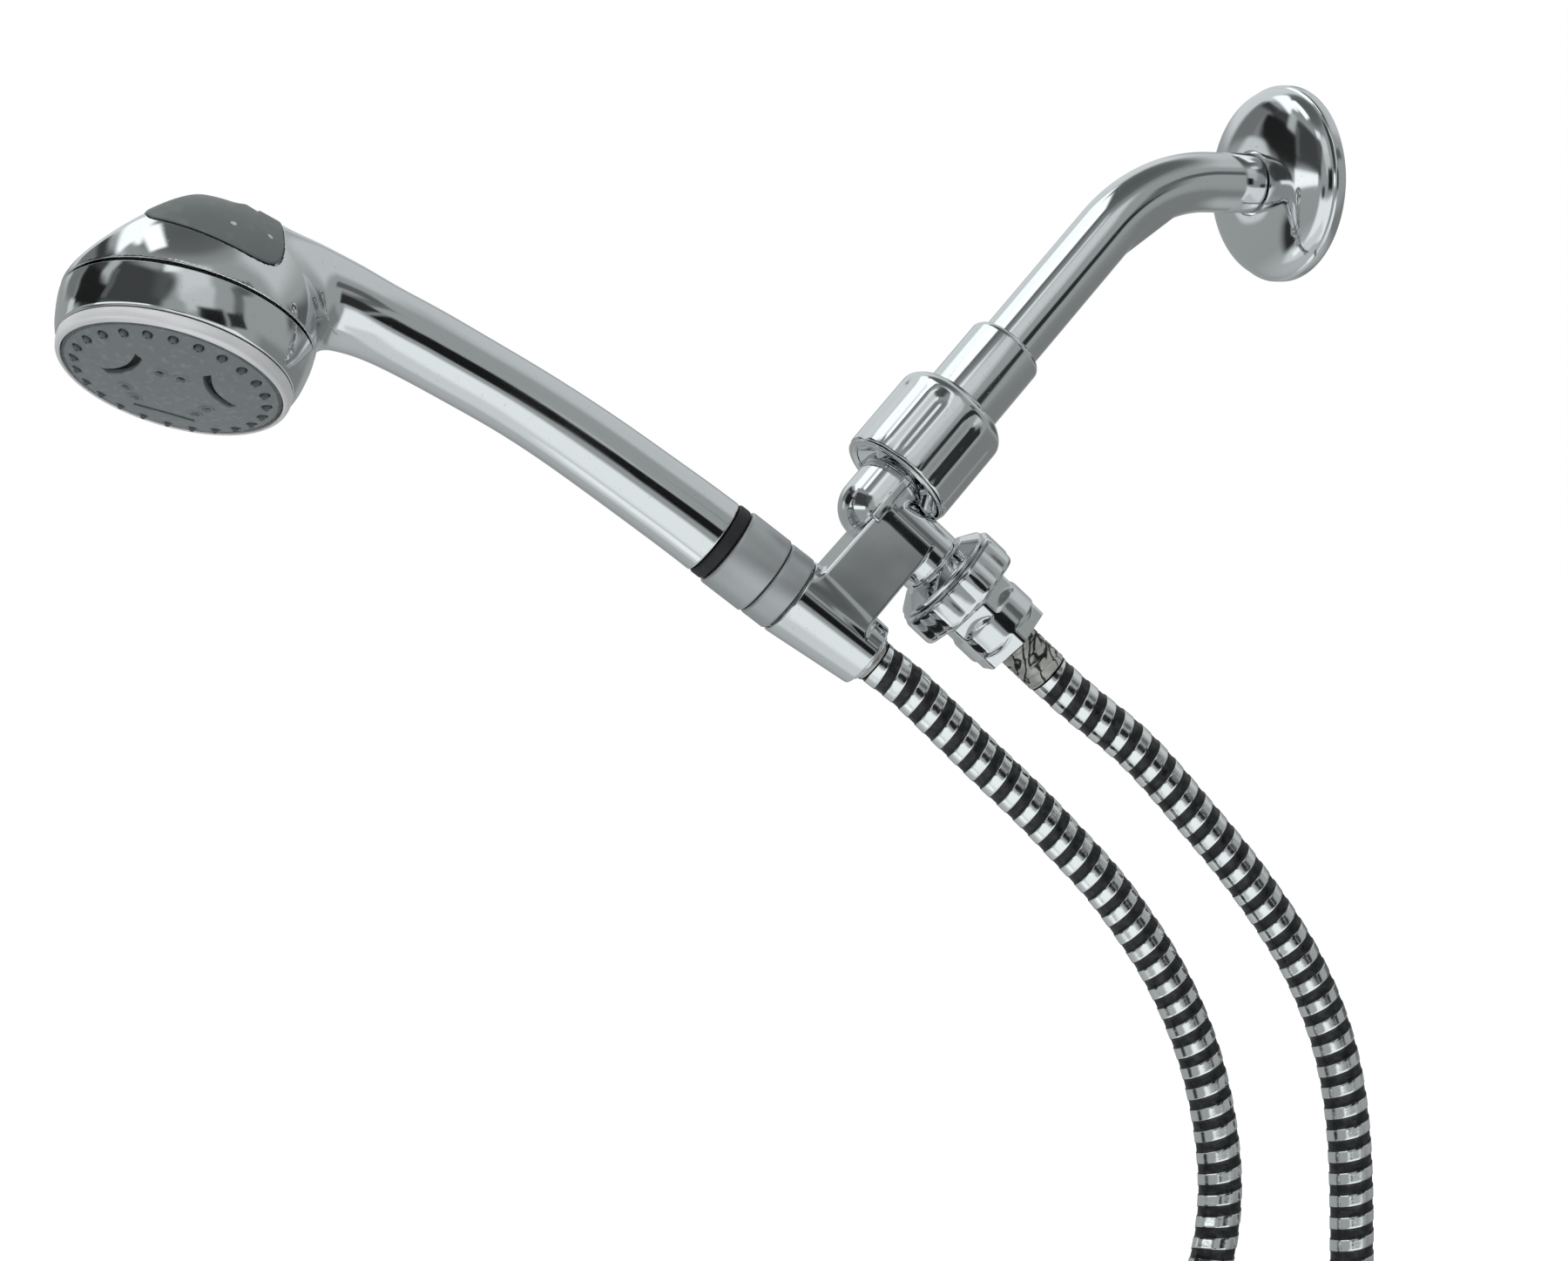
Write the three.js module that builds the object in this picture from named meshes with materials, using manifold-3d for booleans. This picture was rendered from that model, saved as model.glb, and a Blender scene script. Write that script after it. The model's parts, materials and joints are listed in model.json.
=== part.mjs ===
// A hand-held shower on its wall arm: flange and bent arm, ball-joint bracket with a cradle,
// spiral-wound hose and a chrome handset with a dial spray head.
// Millimetres, +Z up. The origin is the centre of the wall flange on the wall plane,
// and the arm leaves the wall toward -Y.

import * as THREE from "three";
import { mergeVertices } from "three/addons/utils/BufferGeometryUtils.js";
import Module from "manifold-3d";

const wasm = await Module();
wasm.setup();

const degrees = THREE.MathUtils.degToRad;

// ---- Driving dimensions ----

const GAP = 0.3;

const PIPE_RADIUS = 10.65;
const PIPE_BORE = 7.9;
const ARM_STUB = 15;
const ARM_STRAIGHT = 35.3;
const ARM_BEND_RADIUS = 60.5;
const ARM_DROP = degrees(45);
const ARM_TAIL = 75;

const FLANGE_RADIUS = 35;
const FLANGE_SKIRT = 4.2;
const FLANGE_DEPTH = 16;
const FLANGE_BORE = 11.4;
const SHEET = 1.4;

const BALL_RADIUS = 15.5;
const BALL_STATION = 106;
const BALL_BORE = 5;
const STEM_RADIUS = 11.8;
const STEM_LENGTH = 27.5;
const BRACKET_TURN = degrees(75.17);

const OUTLET_LENGTH = 27.5;
const SPIGOT_RADIUS = 9.7;
const SPIGOT_REACH = 41;
const COUPLING_START = 29;
const COUPLING_END = 46.5;
const HOSE_NUT_START = 48;
const HOSE_NUT_END = 68;
const FERRULE_RADIUS = 8;
const FERRULE_END = 83.4;

const CRADLE_OFFSET = [-2.2, 0, -42.5];
const CRADLE_LENGTH = 33.5;
const CRADLE_RADIUS = 14.2;
const CRADLE_TAPER = 2.5;
const CRADLE_WALL = 1.8;
const CRADLE_SLOT = 16.8;
const CONE_LENGTH = 35;

const HANDSET_YAW = degrees(174.66);
const HANDSET_ROLL = degrees(193.4);

const HEAD_CENTRE = [205.6, 0, -74.8];
const HEAD_TILT = degrees(18.5);
const HEAD_RADIUS = 41.1;
const SEAM_HEIGHT = 19.6;
const DOME_HEIGHT = 42;
const FRONT_SLOPE = degrees(47.5);
const FRONT_POINT = [20, 0, 49.5];
const SHELL = 2.3;
const FACE_RADIUS = 35.3;
const FACE_BULGE = 6;

const HOSE_RADIUS = 7.75;

// ---- Finishes ----

const finish = (color, roughness, metalness) => () =>
  new THREE.MeshStandardMaterial({ color, roughness, metalness });

const chrome = finish(0xc9cdd0, 0.08, 1);
const satin = finish(0x9fa4a8, 0.38, 0.8);
const brass = finish(0xb99a52, 0.3, 1);
const steel = finish(0xb8bcc0, 0.3, 1);
const slate = finish(0x59605f, 0.45, 0.1);
const rubber = finish(0x151616, 0.7, 0);
const whitePlastic = finish(0xdcdcd6, 0.5, 0);
const greyPlastic = finish(0x8d9190, 0.5, 0);
const hoseCover = finish(0x8f9290, 0.35, 0.6);

// ---- Geometry helpers ----

// A closed geometry as a solid, with doubled points merged and empty triangles dropped.
function solidOf(geometry) {
  const bare = geometry.clone();
  bare.deleteAttribute("normal");
  bare.deleteAttribute("uv");
  const merged = mergeVertices(bare, 1e-4);
  const corners = merged.index.array;
  const kept = [];
  for (let i = 0; i < corners.length; i += 3) {
    const [a, b, c] = [corners[i], corners[i + 1], corners[i + 2]];
    if (a !== b && b !== c && c !== a) kept.push(a, b, c);
  }
  const vertProperties = new Float32Array(merged.attributes.position.array);
  const triVerts = new Uint32Array(kept);
  return new wasm.Manifold(new wasm.Mesh({ numProp: 3, vertProperties, triVerts }));
}

function geometryOf(solid) {
  const mesh = solid.getMesh();
  const geometry = new THREE.BufferGeometry();
  geometry.setAttribute("position", new THREE.BufferAttribute(mesh.vertProperties, 3));
  geometry.setIndex(new THREE.BufferAttribute(mesh.triVerts, 1));
  geometry.computeVertexNormals();
  return geometry;
}

// A profile of [radius, height] points turned about Z. It closes on itself unless it ends on the axis.
function turned(profile, segments = 16) {
  let area = 0;
  profile.forEach(([r, z], i) => {
    const [nextR, nextZ] = profile[(i + 1) % profile.length];
    area += r * nextZ - nextR * z;
  });
  const outline = area < 0 ? [...profile].reverse() : [...profile];
  const onAxis = outline[0][0] === 0 && outline.at(-1)[0] === 0;
  if (!onAxis) outline.push(outline[0]);
  const points = outline.map(([r, z]) => new THREE.Vector2(r, z));
  return new THREE.LatheGeometry(points, segments).rotateX(Math.PI / 2);
}

// A plain ring or, with no bore, a disc between two heights.
function ring(bore, radius, low, high, segments = 16) {
  return turned([[bore, low], [radius, low], [radius, high], [bore, high]], segments);
}

// Points on an arc of a profile, from one angle to another.
function arc(centreR, centreZ, radiusR, radiusZ, from, to, steps) {
  return Array.from({ length: steps + 1 }, (_, i) => {
    const angle = degrees(from + ((to - from) * i) / steps);
    return [centreR + radiusR * Math.cos(angle), centreZ + radiusZ * Math.sin(angle)];
  });
}

// Turns a shape made about Z so that its axis lies along X.
const alongX = (geometry) => geometry.rotateY(Math.PI / 2);

function moved(geometry, x, y, z) {
  return geometry.translate(x, y, z);
}

// Sets a shape off the Z axis by a distance, at an angle from X.
function around(geometry, distance, angle) {
  return geometry.translate(distance * Math.cos(degrees(angle)), distance * Math.sin(degrees(angle)), 0);
}

// A round section carried along a curve, hollow where a bore is given.
function pipe(curve, radius, bore, steps, sides) {
  const section = new THREE.Shape();
  section.absarc(0, 0, radius, 0, Math.PI * 2);
  if (bore > 0) {
    const hole = new THREE.Path();
    hole.absarc(0, 0, bore, 0, Math.PI * 2, true);
    section.holes.push(hole);
  }
  const settings = { steps, curveSegments: sides / 2, bevelEnabled: false, extrudePath: curve };
  return geometryOf(outward(solidOf(new THREE.ExtrudeGeometry(section, settings))));
}

// The same solid with its faces pointing out.
function outward(solid) {
  if (solid.volume() > 0) return solid;
  const mesh = solid.getMesh();
  const triVerts = new Uint32Array(mesh.triVerts);
  for (let i = 0; i < triVerts.length; i += 3) {
    [triVerts[i], triVerts[i + 1]] = [triVerts[i + 1], triVerts[i]];
  }
  const vertProperties = mesh.vertProperties;
  return new wasm.Manifold(new wasm.Mesh({ numProp: 3, vertProperties, triVerts }));
}

const join = (...geometries) =>
  geometries.map(solidOf).reduce((whole, piece) => whole.add(piece));

const cut = (solid, ...geometries) =>
  geometries.map(solidOf).reduce((whole, piece) => whole.subtract(piece), solid);

// The largest piece of a solid, without the slivers that a cut leaves.
const mainBody = (solid) =>
  solid.decompose().reduce((best, piece) => (piece.volume() > best.volume() ? piece : best));

// A helical spring about Z.
function coil(radius, wire, low, high, turns) {
  const steps = turns * 7;
  const points = Array.from({ length: steps + 1 }, (_, i) => {
    const angle = (i / 7) * Math.PI * 2;
    const z = low + wire + ((high - low - 2 * wire) * i) / steps;
    return new THREE.Vector3(radius * Math.cos(angle), radius * Math.sin(angle), z);
  });
  return pipe(new THREE.CatmullRomCurve3(points), wire, 0, steps, 4);
}

function add(group, name, geometry, material) {
  const mesh = new THREE.Mesh(geometry, material());
  mesh.name = name;
  group.add(mesh);
  return mesh;
}

function frame(parent, position = [0, 0, 0]) {
  const group = new THREE.Group();
  group.position.set(...position);
  parent.add(group);
  return group;
}

// ---- Frames ----

const shower = new THREE.Group();

// Z of this frame points out of the wall.
const wall = frame(shower);
wall.rotation.x = Math.PI / 2;

// Z of this frame points up along the arm's lower run, and its origin is the ball's centre.
const bendEnd = new THREE.Vector3(
  0,
  -ARM_STRAIGHT - ARM_BEND_RADIUS * Math.sin(ARM_DROP),
  -ARM_BEND_RADIUS * (1 - Math.cos(ARM_DROP)),
);
const downArm = new THREE.Vector3(0, -Math.cos(ARM_DROP), -Math.sin(ARM_DROP));
const ballCentre = bendEnd.clone().addScaledVector(downArm, BALL_STATION);
const ballFrame = frame(shower, ballCentre.toArray());
ballFrame.rotation.x = -ARM_DROP;

// X of the bracket frame is the outlet, Z is the stem.
const bracket = frame(ballFrame, [0, 0, -STEM_LENGTH]);
bracket.rotation.z = BRACKET_TURN;

// X of the handset frame runs from the cradle's rim up the handle, Z is its top side.
const handset = frame(bracket, CRADLE_OFFSET);
handset.rotation.order = "YXZ";
handset.rotation.set(HANDSET_ROLL, HANDSET_YAW, 0);

// Z of the head frame points away from the spray, and its origin is the face rim's centre.
const head = frame(handset, HEAD_CENTRE);
head.rotation.y = HEAD_TILT;

// ---- Wall flange and arm ----

// The arm's own line: a stub in the wall, a straight, a bend and the straight tail.
class ArmLine extends THREE.Curve {
  getPoint(t, target = new THREE.Vector3()) {
    const first = ARM_STUB + ARM_STRAIGHT;
    const bend = ARM_BEND_RADIUS * ARM_DROP;
    const distance = t * (first + bend + ARM_TAIL);
    if (distance < first) return target.set(0, ARM_STUB - distance, 0);
    if (distance < first + bend) {
      const angle = (distance - first) / ARM_BEND_RADIUS;
      const y = -ARM_STRAIGHT - ARM_BEND_RADIUS * Math.sin(angle);
      return target.set(0, y, -ARM_BEND_RADIUS * (1 - Math.cos(angle)));
    }
    return target.copy(bendEnd).addScaledVector(downArm, distance - first - bend);
  }
}

function wallFlange() {
  const domeR = FLANGE_RADIUS - 0.5 - FLANGE_BORE;
  const domeZ = FLANGE_DEPTH - FLANGE_SKIRT;
  const outside = arc(FLANGE_BORE, FLANGE_SKIRT, domeR, domeZ, 0, 86, 5);
  const inside = arc(FLANGE_BORE, FLANGE_SKIRT, domeR - SHEET, domeZ - SHEET, 82, 0, 4);
  return turned(
    [
      [FLANGE_RADIUS - 4.5, 0],
      [FLANGE_RADIUS - 0.4, 0],
      [FLANGE_RADIUS, 0.6],
      [FLANGE_RADIUS, FLANGE_SKIRT - 0.6],
      ...outside,
      [FLANGE_BORE, FLANGE_DEPTH],
      [FLANGE_BORE, FLANGE_DEPTH - SHEET - 1],
      ...inside,
      [FLANGE_RADIUS - SHEET - 0.5, SHEET],
      [FLANGE_RADIUS - 4.5, SHEET],
    ],
    20,
  );
}

add(shower, "shower_arm", pipe(new ArmLine(), PIPE_RADIUS, PIPE_BORE, 11, 14), chrome);
add(wall, "wall_flange", wallFlange(), chrome);

// ---- Collar, screen and washers above the ball ----

const ARM_END = BALL_STATION - ARM_TAIL;
const NUT_TOP = 20.5;
const NUT_BOTTOM = -14;
const NUT_BORE = 17.1;
const SEAT_RADIUS = BALL_RADIUS + 0.4;

function armCollar() {
  return turned([
    [PIPE_RADIUS + GAP, 28],
    [PIPE_RADIUS + GAP, 48.4],
    [12.6, 48.9],
    [13.75, 47.6],
    [13.75, 17.6],
    [NUT_BORE - 0.5, 17.6],
    [NUT_BORE - 0.5, 8.6],
    [14.6, 8.6],
    [14.6, 16],
    [7.2, 16],
    [7.2, 28],
  ]);
}

function seatWasher() {
  const seat = [13.6, 12.2, 10.8, 9.5].map((r) => [r, Math.sqrt(SEAT_RADIUS ** 2 - r ** 2)]);
  return turned([[14.3, seat[0][1]], [14.3, 15.7], [9.5, 15.7], ...seat.reverse()]);
}

add(ballFrame, "arm_collar", armCollar(), chrome);
add(ballFrame, "filter_screen", ring(1.2, 10.3, 28.3, 28.8), steel);
add(ballFrame, "collar_washer", ring(7.4, 10.5, 29.1, ARM_END - GAP), rubber);
add(ballFrame, "ball_seat_washer", seatWasher(), rubber);

// ---- Ball nut and its lip ring ----

// The sleeve has shallow flutes round its outside.
function ballNut() {
  const sleeve = solidOf(
    turned(
      [
        [14.1, NUT_TOP - 1],
        [14.6, NUT_TOP],
        [17.4, NUT_TOP - 0.2],
        [19.3, NUT_TOP - 1.6],
        [20.3, NUT_TOP - 4.4],
        [20.3, NUT_BOTTOM + 0.6],
        [19.8, NUT_BOTTOM],
        [NUT_BORE + 0.1, NUT_BOTTOM],
        [NUT_BORE + 0.1, 17.9],
        [14.1, 17.9],
      ],
      24,
    ),
  );
  const FLUTES = 8;
  const FLUTE_RADIUS = 6;
  const cutters = Array.from({ length: FLUTES }, (_, i) => {
    const angle = ((i + 0.5) * Math.PI * 2) / FLUTES;
    const reach = 20.3 + FLUTE_RADIUS - 1;
    const cutter = new THREE.CylinderGeometry(FLUTE_RADIUS, FLUTE_RADIUS, 60, 10);
    cutter.rotateX(Math.PI / 2);
    return moved(cutter, reach * Math.cos(angle), reach * Math.sin(angle), 0);
  });
  return geometryOf(cut(sleeve, ...cutters));
}

function ballRetainer() {
  const seat = arc(0, 0, SEAT_RADIUS, SEAT_RADIUS, -32.4, -4.5, 3);
  return turned(
    [
      ...seat,
      [NUT_BORE - 0.3, -1.3],
      [NUT_BORE - 0.3, NUT_BOTTOM - GAP],
      [19.7, NUT_BOTTOM - GAP],
      [19.9, NUT_BOTTOM - 0.8],
      [19.5, NUT_BOTTOM - 1.3],
      [17.7, NUT_BOTTOM - 1.3],
    ],
    24,
  );
}

add(ballFrame, "ball_nut", ballNut(), chrome);
add(ballFrame, "ball_retainer", ballRetainer(), chrome);

const ballRing = new THREE.TorusGeometry(16, 0.5, 4, 16).translate(0, 0, 3.5);
add(ballFrame, "ball_o_ring", ballRing, rubber);

// ---- Ball with its threaded neck ----

const SOCKET_RADIUS = 8.4;
const NECK_TIP = -24;

function bracketBall() {
  const neck = 9;
  const top = Math.acos(BALL_BORE / BALL_RADIUS);
  const bottom = -Math.acos(neck / BALL_RADIUS);
  const sphere = arc(
    0,
    0,
    BALL_RADIUS,
    BALL_RADIUS,
    THREE.MathUtils.radToDeg(bottom),
    THREE.MathUtils.radToDeg(top),
    6,
  );
  return turned([
    [BALL_BORE, NECK_TIP],
    [SOCKET_RADIUS - 0.4, NECK_TIP],
    [SOCKET_RADIUS - 0.4, -19.6],
    [6.9, -19.6],
    [6.9, -17.8],
    [SOCKET_RADIUS - 0.4, -17.8],
    [SOCKET_RADIUS - 0.4, -14.2],
    [neck, -14.2],
    ...sphere,
  ]);
}

add(ballFrame, "bracket_ball", bracketBall(), chrome);

const neckRing = new THREE.TorusGeometry(7.7, 0.45, 4, 12).translate(0, 0, -18.7);
add(ballFrame, "neck_o_ring", neckRing, rubber);

// ---- Bracket: stem, outlet, web and cradle in one casting ----

const STEM_TOP = STEM_LENGTH - 14.5;

// Radius of the cradle's taper at a distance from its rim, which is at x = 0 of the handset frame.
const taperedFrom = (rimRadius) => (x) => rimRadius + (CRADLE_TAPER * x) / CRADLE_LENGTH;

// The cradle's cone about Z, from its hose end up to the rim and past both by a margin.
function cradleCone(rimRadius, margin) {
  const radiusAt = taperedFrom(rimRadius);
  const low = -CRADLE_LENGTH - margin;
  return turned([[0, low], [radiusAt(low), low], [radiusAt(margin), margin], [0, margin]], 18);
}

// Places handset-frame geometry in the bracket frame.
function intoBracket(geometry) {
  handset.updateMatrix();
  return geometry.applyMatrix4(handset.matrix);
}

function webBlock() {
  const outline = new THREE.Shape([
    new THREE.Vector2(0.6, 1),
    new THREE.Vector2(-0.4, -38),
    new THREE.Vector2(29.9, -38),
    new THREE.Vector2(29.6, -33),
    new THREE.Vector2(23.3, -4.8),
    new THREE.Vector2(23.3, 1),
  ]);
  const depth = 2 * STEM_RADIUS;
  const block = new THREE.ExtrudeGeometry(outline, { depth, bevelEnabled: false, steps: 1 });
  block.rotateX(Math.PI / 2);
  return moved(block, 0, STEM_RADIUS, 0);
}

function bracketBody() {
  const dome = arc(0, 0, STEM_RADIUS, STEM_RADIUS, -90, 0, 4);
  dome[0][0] = 0;
  const stemEase = 0.8;
  const stemProfile = [
    ...dome,
    [STEM_RADIUS, STEM_TOP - stemEase],
    [STEM_RADIUS - stemEase, STEM_TOP],
    [0, STEM_TOP],
  ];
  const outletProfile = [
    [0, 0],
    [STEM_RADIUS, 0],
    [STEM_RADIUS, OUTLET_LENGTH],
    [SPIGOT_RADIUS, OUTLET_LENGTH],
    [SPIGOT_RADIUS, SPIGOT_REACH],
    [0, SPIGOT_REACH],
  ];
  const stem = turned(stemProfile, 18);
  const outlet = alongX(turned(outletProfile, 18));
  const cradle = intoBracket(alongX(cradleCone(CRADLE_RADIUS, 0)));
  const body = join(stem, outlet, webBlock(), cradle);
  const cradleBore = intoBracket(alongX(cradleCone(CRADLE_RADIUS - CRADLE_WALL, 4)));
  const slot = intoBracket(
    moved(new THREE.BoxGeometry(CRADLE_LENGTH + 4, 20, CRADLE_SLOT), -CRADLE_LENGTH / 2, -15, 0),
  );
  const socket = ring(0, SOCKET_RADIUS, 2.4, STEM_TOP + 1);
  const stemBore = ring(0, BALL_BORE, -0.2, 3);
  const outletBore = alongX(ring(0, BALL_BORE, -2, SPIGOT_REACH + 1));
  return geometryOf(cut(body, cradleBore, slot, socket, stemBore, outletBore));
}

add(bracket, "bracket_body", bracketBody(), chrome);

// ---- Outlet coupling ----

function lobedPrism(radius, low, high) {
  const LOBES = 8;
  const POINTS = 24;
  const outline = new THREE.Shape(
    Array.from({ length: POINTS }, (_, i) => {
      const angle = (i * Math.PI * 2) / POINTS;
      const reach = radius - 1.1 * (1 - Math.cos(LOBES * angle)) * 0.5;
      return new THREE.Vector2(reach * Math.cos(angle), reach * Math.sin(angle));
    }),
  );
  const prism = new THREE.ExtrudeGeometry(outline, { depth: high - low, bevelEnabled: false, steps: 1 });
  return moved(prism, 0, 0, low);
}

function outletCoupling() {
  const socket = SPIGOT_RADIUS + 0.4;
  const shell = turned([
    [0, COUPLING_START],
    [13.4, COUPLING_START],
    [18, 32],
    [18.8, 32.6],
    [18.8, 34],
    [17, 34.5],
    [17, COUPLING_END],
    [SPIGOT_RADIUS, COUPLING_END],
    [SPIGOT_RADIUS, 57],
    [0, 57],
  ]);
  const grip = lobedPrism(21.4, 34.4, COUPLING_END - 0.4);
  const bores = [ring(0, socket, COUPLING_START - 1, 43.2), ring(0, 8.2, 43, 46.4), ring(0, 6, 46, 58)];
  return alongX(geometryOf(cut(join(shell, grip), ...bores)));
}

add(bracket, "outlet_coupling", outletCoupling(), chrome);
add(bracket, "coupling_washer", alongX(ring(5.6, 9.8, 41.3, 42.9)), rubber);
add(bracket, "check_flap", alongX(ring(1.5, 7.7, 44.2, 45.4)), rubber);

// ---- Hose end at the bracket ----

function hoseNut() {
  const cornerRadius = 14.6;
  const hexagon = new THREE.CylinderGeometry(cornerRadius, cornerRadius, HOSE_NUT_END - HOSE_NUT_START, 6);
  hexagon.rotateX(Math.PI / 2);
  const prism = solidOf(moved(hexagon, 0, 0, (HOSE_NUT_START + HOSE_NUT_END) / 2));
  const rounded = turned([
    [0, HOSE_NUT_START],
    [11.6, HOSE_NUT_START],
    [14.6, HOSE_NUT_START + 5],
    [14.6, HOSE_NUT_END - 6],
    [10.4, HOSE_NUT_END],
    [0, HOSE_NUT_END],
  ]);
  const body = prism.intersect(solidOf(rounded));
  const bores = [ring(0, 10.2, HOSE_NUT_START - 1, 61.3), ring(0, 7.3, 61, HOSE_NUT_END + 1)];
  return alongX(geometryOf(cut(body, ...bores)));
}

function bracketInsert() {
  const profile = [
    [3.6, 59.3],
    [9.6, 59.3],
    [9.6, 60.9],
    [6.8, 60.9],
    [6.8, 67.6],
    [4.5, 67.6],
    [4.5, 83],
    [3.6, 83],
  ];
  return alongX(turned(profile, 16));
}

add(bracket, "hose_nut", hoseNut(), chrome);
add(bracket, "hose_washer", alongX(ring(5.8, 9.6, 57.3, 59)), rubber);
add(bracket, "bracket_insert", bracketInsert(), brass);
add(bracket, "bracket_ferrule", alongX(ring(4.9, FERRULE_RADIUS, 68.6, FERRULE_END)), satin);

// ---- Hose end at the handset ----

const CONE_SOCKET_END = -14;
const CONE_FERRULE_START = -20.4;
const CONE_FERRULE_END = -36.5;

function hoseCone() {
  const rim = CRADLE_RADIUS - CRADLE_WALL - GAP - 0.1;
  const radiusAt = taperedFrom(rim);
  const profile = [
    [10.1, 0.2],
    [rim - 0.4, 0.2],
    [rim, -0.4],
    [radiusAt(1 - CONE_LENGTH), 1 - CONE_LENGTH],
    [radiusAt(-CONE_LENGTH) - 0.5, -CONE_LENGTH],
    [8.3, -CONE_LENGTH],
    [8.3, -20],
    [7.1, -20],
    [7.1, CONE_SOCKET_END],
    [10.1, CONE_SOCKET_END],
  ];
  return alongX(turned(profile, 18));
}

function coneInsert() {
  const profile = [
    [3.6, -11.9],
    [9.5, -11.9],
    [9.5, -13.7],
    [6.7, -13.7],
    [6.7, -20],
    [4.5, -20],
    [4.5, -36.2],
    [3.6, -36.2],
  ];
  return alongX(turned(profile, 16));
}

add(handset, "hose_cone", hoseCone(), chrome);
add(handset, "cone_washer", alongX(ring(5.8, 9.5, -11.6, -10.1)), rubber);
add(handset, "cone_insert", coneInsert(), brass);
const coneFerrule = alongX(ring(4.9, FERRULE_RADIUS, CONE_FERRULE_END, CONE_FERRULE_START));
add(handset, "cone_ferrule", coneFerrule, satin);

// ---- Handset inlet ----

const HANDLE_START = 32.7;
const SPIGOT_END = 46;

function inletSpigot() {
  const profile = [
    [8, -9.8],
    [SPIGOT_RADIUS, -9.8],
    [SPIGOT_RADIUS, 26],
    [8.7, 26],
    [8.7, 37.6],
    [7.4, 37.6],
    [7.4, 39.6],
    [8.7, 39.6],
    [8.7, SPIGOT_END],
    [5.5, SPIGOT_END],
    [5.5, -4.4],
    [8, -4.4],
  ];
  return alongX(turned(profile, 16));
}

add(handset, "inlet_spigot", inletSpigot(), brass);
add(handset, "inlet_screen", alongX(ring(0.8, 7.6, -9.5, -8.5)), steel);
add(handset, "flow_regulator", alongX(ring(2.2, 7.6, -8.1, -4.8)), greyPlastic);

function band(from, to, radius, ease) {
  const bore = SPIGOT_RADIUS + 0.4;
  const profile = [
    [bore, from],
    [radius - ease, from],
    [radius, from + ease],
    [radius, to - ease],
    [radius - ease, to],
    [bore, to],
  ];
  return alongX(turned(profile, 18));
}

add(handset, "swivel_ring", band(0.6, 10.3, 14.2, 0.7), satin);
add(handset, "barrel_nut", band(10.7, 27.2, 14.5, 0.6), satin);
add(handset, "handle_seal", band(27.6, 32.3, 13.9, 0.4), rubber);
const spigotRing = alongX(new THREE.TorusGeometry(8.2, 0.5, 4, 12).translate(0, 0, 38.6));
add(handset, "spigot_o_ring", spigotRing, rubber);

// ---- Handle and head shell ----

// The handle's stations: distance up the handle, drop of its centre line, radius.
const HANDLE_LINE = [
  [HANDLE_START, 0.2, 13.7],
  [42, 0.3, 13.6],
  [58, 0.8, 13.4],
  [76, 1.5, 13.2],
  [112, 4.4, 12.7],
  [133, 7.6, 12.9],
  [153, 11.3, 13.4],
  [168, 15.4, 14.4],
  [180, 19.5, 16.5],
  [192, 24.5, 18.6],
  [204, 30.5, 20.5],
  [216, 36, 22],
];

// Circles at the stations, skinned into one closed body. The wall is taken off every radius.
function handleBody(stations, wallThickness, sides = 16) {
  const rings = stations.map(([x, drop, radius], i) => {
    const before = stations[Math.max(i - 1, 0)];
    const after = stations[Math.min(i + 1, stations.length - 1)];
    const slope = Math.atan2(before[1] - after[1], after[0] - before[0]);
    return Array.from({ length: sides }, (_, k) => {
      const angle = (k * Math.PI * 2) / sides;
      const across = (radius - wallThickness) * Math.cos(angle);
      const rise = (radius - wallThickness) * Math.sin(angle);
      return [x - rise * Math.sin(slope), across, -drop + rise * Math.cos(slope)];
    });
  });
  const points = rings.flat();
  const faces = [];
  rings.slice(1).forEach((_, i) => {
    for (let k = 0; k < sides; k += 1) {
      const [a, b] = [i * sides + k, i * sides + ((k + 1) % sides)];
      faces.push(a, b, b + sides, a, b + sides, a + sides);
    }
  });
  const last = (rings.length - 1) * sides;
  for (let k = 1; k < sides - 1; k += 1) {
    faces.push(0, k + 1, k, last, last + k, last + k + 1);
  }
  const geometry = new THREE.BufferGeometry();
  geometry.setAttribute("position", new THREE.Float32BufferAttribute(points.flat(), 3));
  geometry.setIndex(faces);
  return geometryOf(outward(solidOf(geometry)));
}

// Places head-frame geometry in the handset frame.
function intoHandset(geometry) {
  head.updateMatrix();
  return geometry.applyMatrix4(head.matrix);
}

// The head's dome above the seam, cut by a flat slope at its front, at an offset from its skin.
function dome(offset, base) {
  const radius = HEAD_RADIUS + offset;
  const crown = arc(0, SEAM_HEIGHT, radius, DOME_HEIGHT + offset, 0, 90, 5);
  crown.at(-1)[0] = 0;
  const round = turned([[0, base], [radius, base], ...crown], 24);
  const slab = moved(new THREE.BoxGeometry(80, 120, 40), 0, 0, 20 + offset);
  slab.rotateY(FRONT_SLOPE);
  return geometryOf(cut(solidOf(round), moved(slab, ...FRONT_POINT)));
}

const INLAY_GAP = 0.35;
const INLAY_MIDDLE = 4.5;
const INLAY_OUTLINE = [
  [-17, 70],
  [-17, 38],
  [-15.4, 32.6],
  [-11.5, 29.8],
  [-6.5, 29],
  [14, 29.5],
  [22.5, 30.8],
  [26, 35],
  [26, 70],
];

// The inlay's side outline, carried right across the crown.
function inlayPrism(grow) {
  const points = INLAY_OUTLINE.map(([x, z]) => {
    const outwardX = Math.sign(x - INLAY_MIDDLE) * grow;
    return new THREE.Vector2(x + outwardX, z - grow);
  });
  const width = 100;
  const settings = { depth: width, bevelEnabled: false, steps: 1 };
  const prism = new THREE.ExtrudeGeometry(new THREE.Shape(points), settings);
  prism.rotateX(Math.PI / 2);
  return moved(prism, 0, width / 2, 0);
}

// The crown's skin: dome and handle together, at an offset, with nothing below the seam.
function crownSolid(offset) {
  const below = moved(new THREE.BoxGeometry(110, 110, 60), 0, 0, SEAM_HEIGHT - 30);
  const whole = join(intoHandset(dome(offset, SEAM_HEIGHT)), handleBody(HANDLE_LINE, -offset));
  return cut(whole, intoHandset(below));
}

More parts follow.
